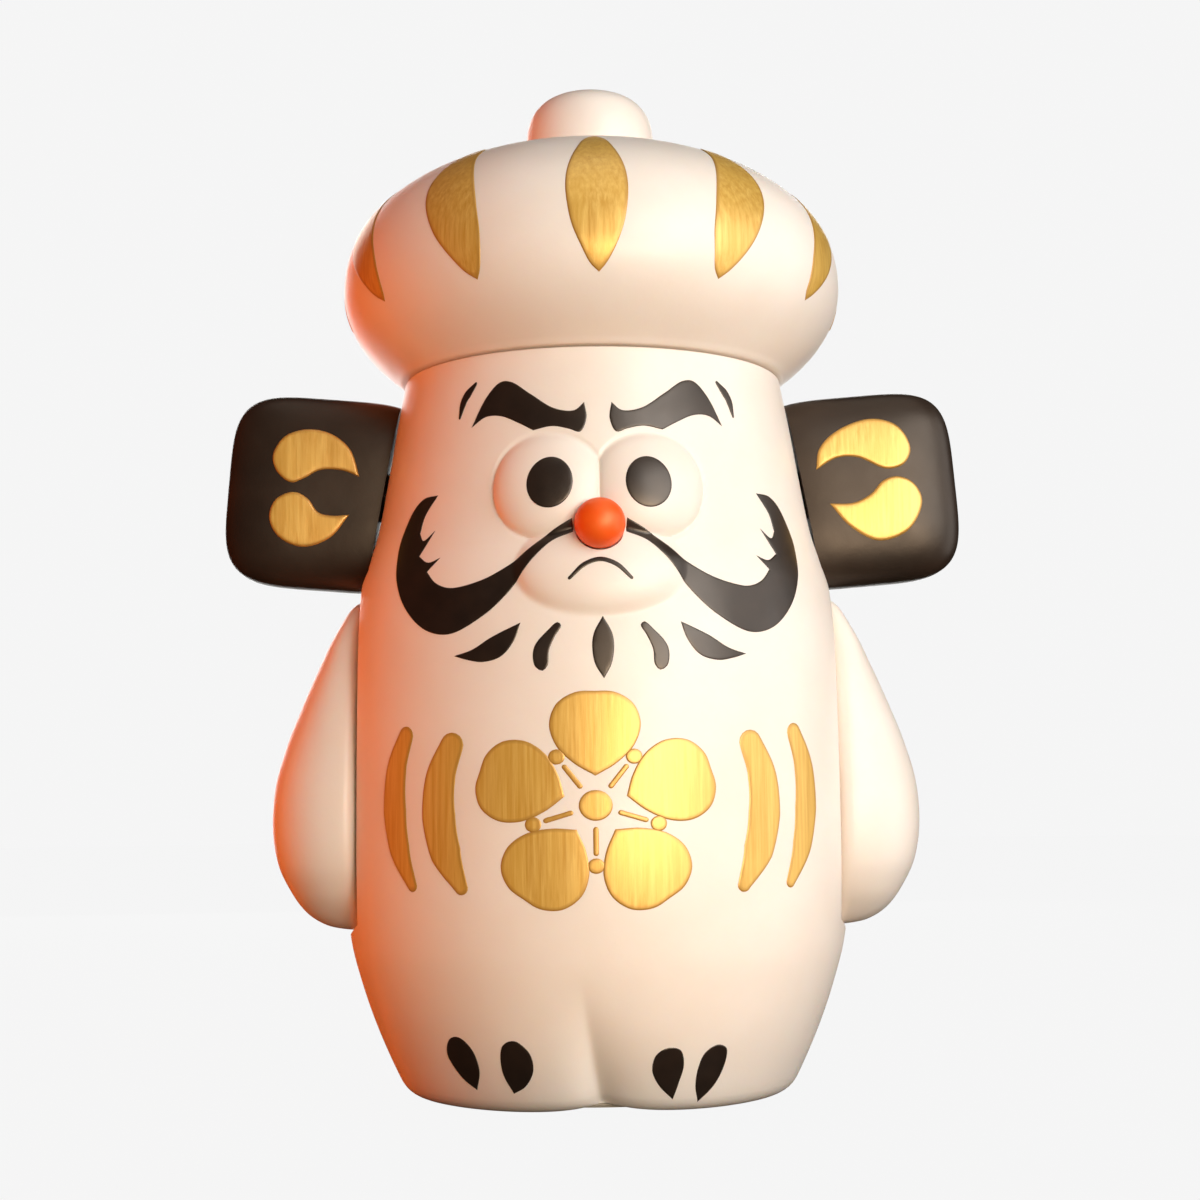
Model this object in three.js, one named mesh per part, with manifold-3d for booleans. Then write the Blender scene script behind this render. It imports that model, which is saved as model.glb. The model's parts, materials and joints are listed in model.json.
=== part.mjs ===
// Standing daruma figure: a hollow vinyl head-and-body with a turning hat, two turning
// hat wings, two swinging arms and a weighted base. Millimetres, +Z up, front along -Y,
// origin on the floor under the middle of the figure.
import * as THREE from 'three';
import { mergeVertices } from 'three/addons/utils/BufferGeometryUtils.js';
import Module from 'manifold-3d';

const wasm = await Module();
wasm.setup();

// ---------------------------------------------------------------- driving dimensions
const GAP = 0.3; // clearance between neighbouring pieces
const WALL = 3; // vinyl wall thickness
const ROUND = 44; // sides of the big turned shapes
const INNER_ROUND = 28; // sides of their hollows
const SMALL_ROUND = 20; // sides of pegs and washers
const BORE_ROUND = 16; // sides of screw holes
const FAR = 400; // larger than the whole figure
const PASS = 12; // how far a cutter runs beyond the wall that it cuts
const BLIND = 2; // solid end left over a blind bore
const MERGE = 1; // how deep joined solids run into each other

const BODY = {
  // half width at a height, from the soles to the neck: [height, half width]
  flank: [
    [0, 36.9], [6, 40], [14, 43.5], [22, 46.3], [30, 48.4], [42, 49.7], [58, 49.9], [74, 49.5],
    [88, 48.6], [98, 46.9], [104, 45], [110, 43.2], [120, 41.3], [130, 39.6], [140.3, 37.7],
  ],
  bottom: 0.5,
  top: 140.3,
  bottomRound: 5,
  topRound: 1,
  depthRatio: 0.93, // the trunk is a little shallower than wide
  depthBlend: [92, 132], // between these heights the section becomes round
  openingRadius: 31.4, // the hole in the soles
  neckRadius: 12.4, // the hole in the top
  hollowRound: 3,
  ringSpacing: 8,
  hollowSpacing: 14,
};

const EYE = { x: 8.7, z: 114.5, radius: 9.9, bulge: 3.6 };
const MUZZLE = { y: -36, z: 99.4, halfWidth: 13, halfHeight: 8.4, halfDepth: 10.2 };
const NOSE = {
  y: -45.2, z: 106.3, radius: 4.6, pegRadius: 2, pegEnd: -33.5,
  nutRadius: 5, nutThickness: 1.6, nutY: -37.5,
};
const CLEFT = { depth: 1.8, halfWidth: 4, height: 20 };

const HAT = {
  radius: 50,
  middle: 158.8, // height of the widest ring
  rise: 28.8,
  drop: 28.1,
  fullness: 2.17, // superellipse power of the crown; the underside is a plain ellipse
  bottom: 140.7,
  holeRadius: 12.3,
  steps: 16,
  hollowSteps: 8,
};
const SPIGOT = {
  radius: 12, flangeRadius: 17, flangeThickness: 2.5, bossRadius: 6, bossTop: 153, screwLength: 14,
};
const FINIAL = {
  radius: 13, bottom: 186.2, top: 201, seatRadius: 11.2, pegRadius: 6, pegEnd: 180,
  fullness: 2.8, // superellipse power of the dome
  foot: 3.2, // height of the flared foot under the dome
  steps: 5,
};

const ARM = {
  inner: 46.3, // flat inner face
  pivot: 76,
  seatRadius: 44.9, // reach of the arm round its pivot
  top: 96.6,
  bottom: 32,
  // thickness and half depth at a height: [height, thickness, half depth]
  stations: [
    [33, 7, 6], [35.5, 11, 10], [39.5, 14, 14], [45, 16.6, 16.8], [52, 17.7, 17.8],
    [60, 17.2, 17.5], [68, 15, 16], [76, 11.9, 13.8], [84, 8.4, 11], [91, 4.9, 8], [95, 2.4, 5],
  ],
  wall: 2.4,
  pegRadius: 6,
  pegEnd: 4,
  bossRadius: 5,
  bossEnd: 10,
  ventHeight: 48,
  washerRadius: 10,
  screwLength: 9,
};

const WING = {
  anchor: [41.6, 4, 118.3], // where the turning axis leaves the head
  tilt: 10.3, // the axis rises outwards by this many degrees
  droop: 5.7, // the slab hangs below the axis by this many degrees
  length: 32.2,
  height: 38.8,
  thickness: 18,
  cornerRadius: 9,
  edgeRadius: 6,
  rootRadius: 4, // corners next to the head
  rootStart: 4, // the outline starts here, and its rounded edge is cut flat by the seat
  rootGap: 0.4,
  sink: 0.2, // the slab hangs this much under its axis
  seatRadius: 20.8,
  wall: 2.4,
  pegRadius: 5,
  pegEnd: 4,
  socketRadius: 10, // thick patch of the head's wall round the peg
  socketDepth: 5.5,
  bossRadius: 4.5,
  bossEnd: 12,
  ventOffset: 9.5,
  washerRadius: 8,
  screwLength: 13,
};
const VENT = { radius: 1.5, depth: 8, sides: 12 }; // lets air out of a hollow moulding

const BASE = {
  plateRadius: 31.1, plateBottom: 1.2, lipRadius: 33, lipBottom: 3.9, top: 5.9,
  lipTaper: 0.8, // the lip narrows upwards so that it snaps in
  ballastRadius: 26, ballastHeight: 8, ballastChamfer: 1.2,
  screwCircle: 18, screws: 3, screwLength: 10, holeFloor: 1,
  padRadius: 27, padThickness: 0.9, padSplit: 3,
  sides: 48,
};
const SCREW = {
  shank: 1.5, hole: 1.8, point: 2, sides: 12,
  headRadius: 3.2, headHeight: 2.2, crownRadius: 1.9, skirtHeight: 0.9,
  slotWidth: 1, slotLength: 4, slotDepth: 1,
};
const WASHER_THICKNESS = 2;

// ---------------------------------------------------------------- materials
function paint(color, roughness, metalness = 0) {
  return new THREE.MeshStandardMaterial({ color, roughness, metalness });
}
const CREAM = paint(0xf3e6da, 0.5);
const BLACK = paint(0x1f150f, 0.4);
const ORANGE = paint(0xe8551c, 0.4);
const ABS = paint(0xd8d2c8, 0.55);
const STEEL = paint(0xa9a9ab, 0.35, 1);
const IRON = paint(0x4a4a4c, 0.6, 1);
const FOAM = paint(0x2e2c2b, 0.9);

// ---------------------------------------------------------------- solids
function toManifold(geometry) {
  const bare = geometry.clone();
  for (const name of Object.keys(bare.attributes)) {
    if (name !== 'position') bare.deleteAttribute(name);
  }
  const merged = mergeVertices(bare, 1e-4);
  const index = merged.index.array;
  const triVerts = [];
  for (let i = 0; i < index.length; i += 3) {
    const [a, b, c] = [index[i], index[i + 1], index[i + 2]];
    if (a !== b && b !== c && c !== a) triVerts.push(a, b, c);
  }
  return new wasm.Manifold(new wasm.Mesh({
    numProp: 3,
    vertProperties: new Float32Array(merged.attributes.position.array),
    triVerts: new Uint32Array(triVerts),
  }));
}

function toGeometry(manifold) {
  const mesh = manifold.getMesh();
  const geometry = new THREE.BufferGeometry();
  geometry.setAttribute('position', new THREE.BufferAttribute(mesh.vertProperties, 3));
  geometry.setIndex(new THREE.BufferAttribute(mesh.triVerts, 1));
  geometry.computeVertexNormals();
  return geometry;
}

function join(first, ...others) {
  return toGeometry(others.reduce((sum, g) => sum.add(toManifold(g)), toManifold(first)));
}

function cut(first, ...tools) {
  return toGeometry(tools.reduce((rest, g) => rest.subtract(toManifold(g)), toManifold(first)));
}

function common(a, b) {
  return toGeometry(toManifold(a).intersect(toManifold(b)));
}

// a solid turned about Z from [radius, height] points, listed from the bottom up
function turned(points, sides = ROUND) {
  const profile = points.map(([radius, height]) => new THREE.Vector2(radius, height));
  return new THREE.LatheGeometry(profile, sides).rotateX(Math.PI / 2);
}

function rod(radius, from, to, sides = SMALL_ROUND) {
  return turned([[0, from], [radius, from], [radius, to], [0, to]], sides);
}

function ellipsoid(rx, ry, rz, sides = 32) {
  return new THREE.SphereGeometry(1, sides, sides / 2).rotateX(Math.PI / 2).scale(rx, ry, rz);
}

function block(x, y, z) {
  return new THREE.BoxGeometry(x, y, z);
}

// moves each vertex of the geometry by a function that changes a Vector3
function reshape(geometry, move) {
  const position = geometry.attributes.position;
  const point = new THREE.Vector3();
  for (let i = 0; i < position.count; i += 1) {
    point.fromBufferAttribute(position, i);
    move(point);
    position.setXYZ(i, point.x, point.y, point.z);
  }
  return geometry;
}

// smooth curve through [key, value...] rows: cubic pieces with central slopes
function tableValue(rows, key, column = 1) {
  const last = rows.length - 1;
  const at = THREE.MathUtils.clamp(key, rows[0][0], rows[last][0]);
  const slope = (i) => {
    const [a, b] = [rows[Math.max(i - 1, 0)], rows[Math.min(i + 1, last)]];
    return (b[column] - a[column]) / (b[0] - a[0]);
  };
  let i = 0;
  while (i < last - 1 && rows[i + 1][0] < at) i += 1;
  const step = rows[i + 1][0] - rows[i][0];
  const t = (at - rows[i][0]) / step;
  return (2 * t ** 3 - 3 * t ** 2 + 1) * rows[i][column]
    + (t ** 3 - 2 * t ** 2 + t) * step * slope(i)
    + (3 * t ** 2 - 2 * t ** 3) * rows[i + 1][column]
    + (t ** 3 - t ** 2) * step * slope(i + 1);
}

function arc(cx, cy, radius, fromDegrees, toDegrees, steps) {
  return Array.from({ length: steps + 1 }, (_, i) => {
    const angle = THREE.MathUtils.degToRad(fromDegrees + (toDegrees - fromDegrees) * i / steps);
    return [cx + radius * Math.cos(angle), cy + radius * Math.sin(angle)];
  });
}

// ---------------------------------------------------------------- head and body
function bodyRadius(z) {
  return tableValue(BODY.flank, z);
}

function depthRatio(z) {
  const blend = THREE.MathUtils.smoothstep(z, ...BODY.depthBlend);
  return BODY.depthRatio + (1 - BODY.depthRatio) * blend;
}

// heights of the rings between two levels, about `spacing` apart
function levels(from, to, spacing) {
  const count = Math.round((to - from) / spacing);
  return Array.from({ length: count + 1 }, (_, i) => from + (to - from) * i / count);
}

function trunk(inset, bottom, top, bottomRound, spacing, sides) {
  const { topRound } = BODY;
  const low = bodyRadius(bottom + bottomRound) - inset - bottomRound;
  const high = bodyRadius(top - topRound) - inset - topRound;
  const rings = levels(bottom + bottomRound, top - topRound, spacing);
  const profile = [
    [0, bottom],
    ...arc(low, bottom + bottomRound, bottomRound, -90, -22.5, 3),
    ...rings.map((z) => [bodyRadius(z) - inset, z]),
    ...arc(high, top - topRound, topRound, 45, 90, 1),
    [0, top],
  ];
  return reshape(turned(profile, sides), (p) => {
    p.y *= depthRatio(p.z);
  });
}

// a lens-shaped dome standing `bulge` out of the face, `radius` across half
function eyeDome(side) {
  const ballRadius = (EYE.radius ** 2 + EYE.bulge ** 2) / (2 * EYE.bulge);
  const angle = Math.asin(EYE.x / bodyRadius(EYE.z));
  const face = bodyRadius(EYE.z) * depthRatio(EYE.z) * Math.cos(angle);
  const sink = ballRadius - EYE.bulge;
  return ellipsoid(ballRadius, ballRadius, ballRadius, INNER_ROUND).translate(
    side * (EYE.x - sink * Math.sin(angle)),
    -face + sink * Math.cos(angle),
    EYE.z,
  );
}

function wingFrame(side) {
  const [x, y, z] = WING.anchor;
  const outwards = THREE.MathUtils.degToRad(90 - WING.tilt);
  return new THREE.Matrix4()
    .makeRotationY(side * outwards)
    .setPosition(side * x, y, z);
}

function armFrame(side) {
  return new THREE.Matrix4()
    .makeRotationY(side * Math.PI / 2)
    .setPosition(side * (ARM.inner - GAP), 0, ARM.pivot);
}

function cleft() {
  const soleFront = -bodyRadius(BODY.bottomRound) * BODY.depthRatio;
  return ellipsoid(CLEFT.halfWidth, CLEFT.depth, CLEFT.height, 16).translate(0, soleFront, 0);
}

function bodyOutside() {
  const muzzle = ellipsoid(MUZZLE.halfWidth, MUZZLE.halfDepth, MUZZLE.halfHeight, SMALL_ROUND);
  const skin = join(
    trunk(0, BODY.bottom, BODY.top, BODY.bottomRound, BODY.ringSpacing, ROUND),
    eyeDome(-1),
    eyeDome(1),
    muzzle.translate(0, MUZZLE.y, MUZZLE.z),
  );
  const seats = [-1, 1].flatMap((side) => [
    rod(ARM.seatRadius, 0, FAR, ROUND).applyMatrix4(armFrame(side)),
    rod(WING.seatRadius, GAP / 3, FAR, ROUND).applyMatrix4(wingFrame(side)),
  ]);
  return cut(skin, cleft(), ...seats);
}

function bodyHollow() {
  const inside = trunk(
    WALL, BODY.bottom + WALL, BODY.top - WALL, BODY.hollowRound, BODY.hollowSpacing, INNER_ROUND,
  );
  const betweenArms = block(2 * (ARM.inner - GAP - WALL), FAR, FAR);
  const sockets = [-1, 1].map((side) => (
    rod(WING.socketRadius, -WING.socketDepth, FAR).applyMatrix4(wingFrame(side))
  ));
  return cut(common(inside, betweenArms), ...sockets);
}

function bodyShell() {
  const noseSeat = NOSE.radius + GAP;
  const noseBore = rod(NOSE.pegRadius + GAP, 0, -NOSE.y, BORE_ROUND).rotateX(-Math.PI / 2);
  const openings = [
    rod(BODY.openingRadius, BODY.bottom - PASS, BODY.bottom + PASS, ROUND),
    rod(BODY.neckRadius, BODY.top - PASS, BODY.top + PASS, INNER_ROUND),
    ellipsoid(noseSeat, noseSeat, noseSeat, 16).translate(0, NOSE.y, NOSE.z),
    noseBore.translate(0, NOSE.y, NOSE.z),
  ];
  for (const side of [-1, 1]) {
    openings.push(
      rod(ARM.pegRadius + GAP, -PASS, PASS).applyMatrix4(armFrame(side)),
      rod(WING.pegRadius + GAP, -PASS, PASS).applyMatrix4(wingFrame(side)),
    );
  }
  return cut(bodyOutside(), bodyHollow(), ...openings);
}

// ---------------------------------------------------------------- hat
// half profile of the hat from its underside to its crown, shrunk by `inset`
function hatProfile(inset, bottom, steps) {
  const radius = HAT.radius - inset;
  const drop = HAT.drop - inset;
  const rise = HAT.rise - inset;
  const start = -Math.asin((HAT.middle - bottom) / drop);
  return Array.from({ length: steps + 1 }, (_, i) => {
    const angle = start + (Math.PI / 2 - start) * i / steps;
    const [c, s] = [Math.cos(angle), Math.sin(angle)];
    if (s < 0) return [radius * c, HAT.middle + drop * s];
    const power = 2 / HAT.fullness;
    return [radius * Math.max(c, 0) ** power, HAT.middle + rise * s ** power];
  });
}

function hatShell() {
  const outer = turned([[0, HAT.bottom], ...hatProfile(0, HAT.bottom, HAT.steps)]);
  const floor = HAT.bottom + WALL;
  const hollowProfile = [[0, floor], ...hatProfile(WALL, floor, HAT.hollowSteps)];
  return cut(
    outer,
    turned(hollowProfile, INNER_ROUND),
    rod(HAT.holeRadius, HAT.bottom - PASS, HAT.bottom + PASS, INNER_ROUND),
    rod(FINIAL.pegRadius + GAP, HAT.middle, FINIAL.top),
    rod(FINIAL.seatRadius + 2 * GAP, FINIAL.bottom - GAP, FINIAL.top, INNER_ROUND),
  );
}

function hatFinial() {
  const height = FINIAL.top - FINIAL.bottom;
  const power = 2 / FINIAL.fullness;
  const dome = Array.from({ length: FINIAL.steps + 1 }, (_, i) => {
    const angle = Math.PI / 2 * i / FINIAL.steps;
    return [
      i < FINIAL.steps ? FINIAL.radius * Math.cos(angle) ** power : 0,
      FINIAL.bottom + FINIAL.foot + (height - FINIAL.foot) * Math.sin(angle) ** power,
    ];
  });
  return turned([
    [0, FINIAL.pegEnd], [FINIAL.pegRadius, FINIAL.pegEnd], [FINIAL.pegRadius, FINIAL.bottom],
    [FINIAL.seatRadius, FINIAL.bottom], ...dome,
  ], INNER_ROUND);
}

function neckSpigot() {
  const flangeBottom = HAT.bottom + WALL + GAP;
  const flangeTop = flangeBottom + SPIGOT.flangeThickness;
  const shaftEnd = BODY.top - WALL;
  const solid = turned([
    [0, shaftEnd], [SPIGOT.radius, shaftEnd], [SPIGOT.radius, flangeBottom],
    [SPIGOT.flangeRadius, flangeBottom], [SPIGOT.flangeRadius, flangeTop],
    [SPIGOT.bossRadius, flangeTop], [SPIGOT.bossRadius, SPIGOT.bossTop], [0, SPIGOT.bossTop],
  ], INNER_ROUND);
  return cut(solid, rod(SCREW.hole, shaftEnd - PASS, SPIGOT.bossTop - BLIND, BORE_ROUND));
}

// ---------------------------------------------------------------- arms
function armForm(inset) {
  const rows = ARM.stations.map(([z, thickness, halfDepth]) => [
    z, Math.max(thickness - inset, 0.5), Math.max(halfDepth - inset, 0.5),
  ]);
  const bottom = ARM.bottom + inset;
  const top = ARM.top - 2 * inset;
  const inside = rows.filter(([z]) => z > bottom + 0.4 && z < top - 0.4);
  const profile = [[0, bottom], ...inside.map(([z]) => [1, z]), [0, top]];
  return reshape(turned(profile, inset > 0 ? 16 : INNER_ROUND), (p) => {
    p.x = ARM.inner + p.x * tableValue(rows, p.z, 1);
    p.y *= tableValue(rows, p.z, 2);
  });
}

function arm(side) {
  const beyond = (x) => block(FAR, FAR, FAR).translate(x + FAR / 2, 0, 0);
  const skin = common(armForm(0), beyond(ARM.inner));
  const hollow = common(armForm(ARM.wall), beyond(ARM.inner + ARM.wall));
  const frame = armFrame(1);
  const peg = rod(ARM.pegRadius, -WALL, ARM.pegEnd).applyMatrix4(frame);
  const boss = rod(ARM.bossRadius, MERGE, ARM.bossEnd).applyMatrix4(frame);
  const bore = rod(SCREW.hole, -PASS, ARM.bossEnd - BLIND, BORE_ROUND).applyMatrix4(frame);
  const vent = ventHole().rotateY(Math.PI / 2).translate(ARM.inner, 0, ARM.ventHeight);
  const whole = cut(join(cut(skin, hollow), peg, boss), bore, vent);
  return side > 0 ? whole : mirrored(whole);
}

function ventHole() {
  return rod(VENT.radius, -VENT.depth, VENT.depth, VENT.sides);
}

// the same piece for the other side of the figure
function mirrored(geometry) {
  const copy = geometry.clone().scale(-1, 1, 1);
  const index = copy.index.array;
  for (let i = 0; i < index.length; i += 3) {
    [index[i], index[i + 1]] = [index[i + 1], index[i]];
  }
  copy.computeVertexNormals();
  return copy;
}

// ---------------------------------------------------------------- hat wings
// slab drawn in its own plane: X outwards from the head, Y up, thickness along Z
function wingSlab(inset) {
  const { length, height, cornerRadius, edgeRadius, rootRadius, thickness } = WING;
  const smallestEdge = 1.5;
  const smallestCorner = 0.6;
  const edge = Math.max(edgeRadius - inset, smallestEdge);
  const half = height / 2 - inset - edge;
  const tip = length - inset - edge;
  const root = inset > 0 ? WING.rootGap + inset + edge : WING.rootStart;
  const corner = Math.max(cornerRadius - inset - edge, smallestCorner);
  const low = Math.max(rootRadius - edge, smallestCorner);
  const shape = new THREE.Shape();
  shape.moveTo(root + low, -half);
  shape.lineTo(tip - corner, -half);
  shape.absarc(tip - corner, -half + corner, corner, -Math.PI / 2, 0);
  shape.lineTo(tip, half - corner);
  shape.absarc(tip - corner, half - corner, corner, 0, Math.PI / 2);
  shape.lineTo(root + low, half);
  shape.absarc(root + low, half - low, low, Math.PI / 2, Math.PI);
  shape.lineTo(root, -half + low);
  shape.absarc(root + low, -half + low, low, Math.PI, 1.5 * Math.PI);
  const depth = thickness - 2 * inset - 2 * edge;
  return new THREE.ExtrudeGeometry(shape, {
    depth, curveSegments: 3, bevelEnabled: true, bevelThickness: edge, bevelSize: edge,
    bevelSegments: inset > 0 ? 1 : 3,
  }).translate(0, 0, -depth / 2);
}

// turned into the axis frame, with Z outwards along the axis and X down
function wing(side) {
  const lay = new THREE.Matrix4().makeBasis(
    new THREE.Vector3(0, 0, 1),
    new THREE.Vector3(-1, 0, 0),
    new THREE.Vector3(0, -1, 0),
  );
  const droop = THREE.MathUtils.degToRad(WING.droop);
  const place = (g) => g.rotateZ(-droop).translate(0, -WING.sink, 0).applyMatrix4(lay);
  const offTheHead = block(FAR, FAR, FAR).translate(0, 0, WING.rootGap + FAR / 2);
  const skin = common(place(wingSlab(0)), offTheHead);
  const hollow = place(wingSlab(WING.wall));
  const peg = rod(WING.pegRadius, -WING.socketDepth, WING.pegEnd);
  const boss = rod(WING.bossRadius, MERGE, WING.bossEnd);
  const bore = rod(SCREW.hole, -PASS, WING.bossEnd - BLIND, BORE_ROUND);
  const vent = ventHole().translate(WING.ventOffset, 0, 0);
  const whole = cut(join(cut(skin, hollow), peg, boss), bore, vent).applyMatrix4(wingFrame(1));
  return side > 0 ? whole : mirrored(whole);
}

// ---------------------------------------------------------------- small pieces
function washer(radius, hole, thickness) {
  const section = [[hole, 0], [radius, 0], [radius, thickness], [hole, thickness], [hole, 0]];
  return turned(section, SMALL_ROUND);
}

// pan-head screw with a cross slot: head below Z = 0, shank up
function screw(length) {
  const solid = turned([
    [0, -SCREW.headHeight], [SCREW.crownRadius, -SCREW.headHeight],
    [SCREW.headRadius, -SCREW.skirtHeight], [SCREW.headRadius, 0], [SCREW.shank, 0],
    [SCREW.shank, length - SCREW.point], [0, length],
  ], SCREW.sides);
  const slots = [
    block(SCREW.slotLength, SCREW.slotWidth, 2 * SCREW.slotDepth),
    block(SCREW.slotWidth, SCREW.slotLength, 2 * SCREW.slotDepth),
  ];
  return cut(solid, ...slots.map((g) => g.translate(0, 0, -SCREW.headHeight)));
}

// washer and screw that hold a peg from inside, set along an outward Z axis
function retainer(name, frame, wall, { washerRadius, screwLength }) {
  const washerBottom = -wall - GAP - WASHER_THICKNESS;
  const stack = new THREE.Group();
  stack.applyMatrix4(frame);
  const ring = new THREE.Mesh(washer(washerRadius, SCREW.hole, WASHER_THICKNESS), ABS);
  ring.name = `${name}_washer`;
  ring.position.z = washerBottom;
  const fastener = new THREE.Mesh(screw(screwLength), STEEL);
  fastener.name = `${name}_screw`;
  fastener.position.z = washerBottom - GAP;
  stack.add(ring, fastener);
  return stack;
}

function noseBall() {
  const ball = ellipsoid(NOSE.radius, NOSE.radius, NOSE.radius, SMALL_ROUND);
  const peg = rod(NOSE.pegRadius, MERGE, NOSE.pegEnd - NOSE.y, BORE_ROUND);
  return join(ball, peg.rotateX(-Math.PI / 2));
}

function noseNut() {
  const ring = washer(NOSE.nutRadius, NOSE.pegRadius + GAP, NOSE.nutThickness);
  return ring.rotateX(-Math.PI / 2);
}

// ---------------------------------------------------------------- base
function basePlate() {
  const disc = turned([
    [0, BASE.plateBottom], [BASE.plateRadius, BASE.plateBottom], [BASE.plateRadius, BASE.lipBottom],
    [BASE.lipRadius, BASE.lipBottom], [BASE.lipRadius - BASE.lipTaper, BASE.top], [0, BASE.top],
  ], BASE.sides);
  return cut(disc, ...screwHoles(BASE.plateBottom + BASE.holeFloor));
}

function ballast() {
  const bottom = BASE.top + GAP;
  const top = bottom + BASE.ballastHeight;
  const radius = BASE.ballastRadius;
  const chamfer = BASE.ballastChamfer;
  const disc = turned([
    [0, bottom], [radius, bottom], [radius, top - chamfer], [radius - chamfer, top], [0, top],
  ], BASE.sides);
  return cut(disc, ...screwHoles(bottom - PASS));
}

function screwHoles(bottom) {
  const top = BASE.top + BASE.ballastHeight + PASS;
  return screwPlaces().map(([x, y]) => rod(SCREW.hole, bottom, top, BORE_ROUND).translate(x, y, 0));
}

function screwPlaces() {
  return Array.from({ length: BASE.screws }, (_, i) => {
    const angle = Math.PI / 2 + 2 * Math.PI * i / BASE.screws;
    return [BASE.screwCircle * Math.cos(angle), BASE.screwCircle * Math.sin(angle)];
  });
}

// half-moon pad under one foot
function footPad(side) {
  const disc = rod(BASE.padRadius, 0, BASE.padThickness, BASE.sides);
  const half = block(FAR, FAR, FAR).translate(side * (BASE.padSplit + FAR / 2), 0, 0);
  return common(disc, half);
}

// ---------------------------------------------------------------- assembly
const group = new THREE.Group();

function addPiece(name, geometry, material) {
  const piece = new THREE.Mesh(geometry, material);
  piece.name = name;
  group.add(piece);
  return piece;
}

addPiece('body_shell', bodyShell(), CREAM);
addPiece('nose_ball', noseBall(), ORANGE).position.set(0, NOSE.y, NOSE.z);
addPiece('nose_push_nut', noseNut(), STEEL).position.set(0, NOSE.nutY, NOSE.z);
addPiece('base_plate', basePlate(), ABS);
addPiece('ballast_disc', ballast(), IRON);
screwPlaces().forEach(([x, y], i) => {
  const fastener = addPiece(`ballast_screw_${i + 1}`, screw(BASE.screwLength), STEEL);
  fastener.rotation.x = Math.PI;
  fastener.position.set(x, y, BASE.top + BASE.ballastHeight + 2 * GAP);
});

addPiece('hat_shell', hatShell(), CREAM);
addPiece('hat_finial', hatFinial(), CREAM);
addPiece('neck_spigot', neckSpigot(), ABS);
const neckFrame = new THREE.Matrix4().makeTranslation(0, 0, BODY.top);
const neckSizes = { washerRadius: SPIGOT.flangeRadius, screwLength: SPIGOT.screwLength };
group.add(retainer('neck', neckFrame, WALL, neckSizes));

for (const [name, side] of [['right', -1], ['left', 1]]) {
  addPiece(`${name}_arm`, arm(side), CREAM);
  addPiece(`${name}_wing`, wing(side), BLACK);
  addPiece(`${name}_foot_pad`, footPad(side), FOAM);
  group.add(
    retainer(`${name}_arm`, armFrame(side), WALL, ARM),
    retainer(`${name}_wing`, wingFrame(side), WING.socketDepth, WING),
  );
}

export default group;
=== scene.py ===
"""Daruma figure in satin vinyl: fine skins, painted marks and materials around the CAD model.

Shapes are worked out in millimetres in the CAD frame (Z up, face towards -Y) and are turned
into metres when a mesh is made. A place on the round surfaces is (angle, height): the angle is
in degrees from the front, positive towards +X.
"""

import json
import math

import bmesh
import bpy
import numpy as np
from mathutils import Matrix, Vector
from mathutils.geometry import delaunay_2d_cdt


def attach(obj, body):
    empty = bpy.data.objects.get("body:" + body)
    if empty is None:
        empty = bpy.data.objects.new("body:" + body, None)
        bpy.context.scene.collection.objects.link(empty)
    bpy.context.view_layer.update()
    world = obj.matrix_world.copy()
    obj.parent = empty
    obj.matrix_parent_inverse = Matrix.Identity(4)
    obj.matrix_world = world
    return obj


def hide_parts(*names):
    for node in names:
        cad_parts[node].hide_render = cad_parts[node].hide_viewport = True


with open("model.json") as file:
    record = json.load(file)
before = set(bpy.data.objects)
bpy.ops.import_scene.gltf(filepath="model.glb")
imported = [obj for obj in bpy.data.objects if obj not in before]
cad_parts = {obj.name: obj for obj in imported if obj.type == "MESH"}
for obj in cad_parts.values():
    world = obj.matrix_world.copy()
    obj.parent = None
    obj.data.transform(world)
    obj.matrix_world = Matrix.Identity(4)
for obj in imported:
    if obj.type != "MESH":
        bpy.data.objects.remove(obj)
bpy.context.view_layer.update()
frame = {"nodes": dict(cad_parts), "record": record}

MM = 0.001
GAP = 0.3  # between touching pieces
WALL = 3.0
WELD = 0.005  # points closer than this are merged after a boolean
SIDES = ((-1, "right"), (1, "left"))

# ---- sizes, as in the CAD model where it has them
FLANK = np.array([  # height, half width
    (0, 36.9), (6, 40), (14, 43.5), (22, 46.3), (30, 48.4), (42, 49.7), (58, 49.9), (74, 49.5),
    (88, 48.6), (98, 46.9), (104, 45), (110, 43.2), (120, 41.3), (130, 39.6), (140.3, 37.7),
])
BODY_BOTTOM = 0.5
BODY_TOP = 140.3
SOLE_ROUND = 5.0
NECK_ROUND = 0.5
DEPTH_RATIO = 0.93
DEPTH_BLEND = (92, 132)
SOLE_OPENING = 31.4
NECK_OPENING = 12.4

PLATE = {"radius": 31.1, "bottom": 1.2, "lip": 33, "lip_bottom": 3.9, "lip_taper": 0.8, "top": 5.9,
         "edge": 0.5}
PLATE_HOLES = {"count": 3, "circle": 18, "radius": 1.8, "floor": 2.2}
PAD = {"radius": 27, "thickness": 0.9, "split": 3, "corner": 8, "edge": 0.25}
FLOOR_STEP = 2  # the hollow is narrower by this at its floor

NOSE = {"centre": (0, -45.2, 106.3), "radius": 4.6, "squash": 0.96, "peg": 2.0, "peg_end": 11.7,
        "bore_end": 16}

HAT = {"radius": 50, "middle": 158.8, "rise": 28.8, "drop": 28.1, "fullness": 2.17,
       "bottom": 140.7, "hole": 12.3}
FINIAL = {"radius": 13, "bottom": 186.2, "top": 201, "seat": 11.2, "peg": 6, "peg_end": 180,
          "fullness": 2.8, "foot": 3.2}

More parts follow.
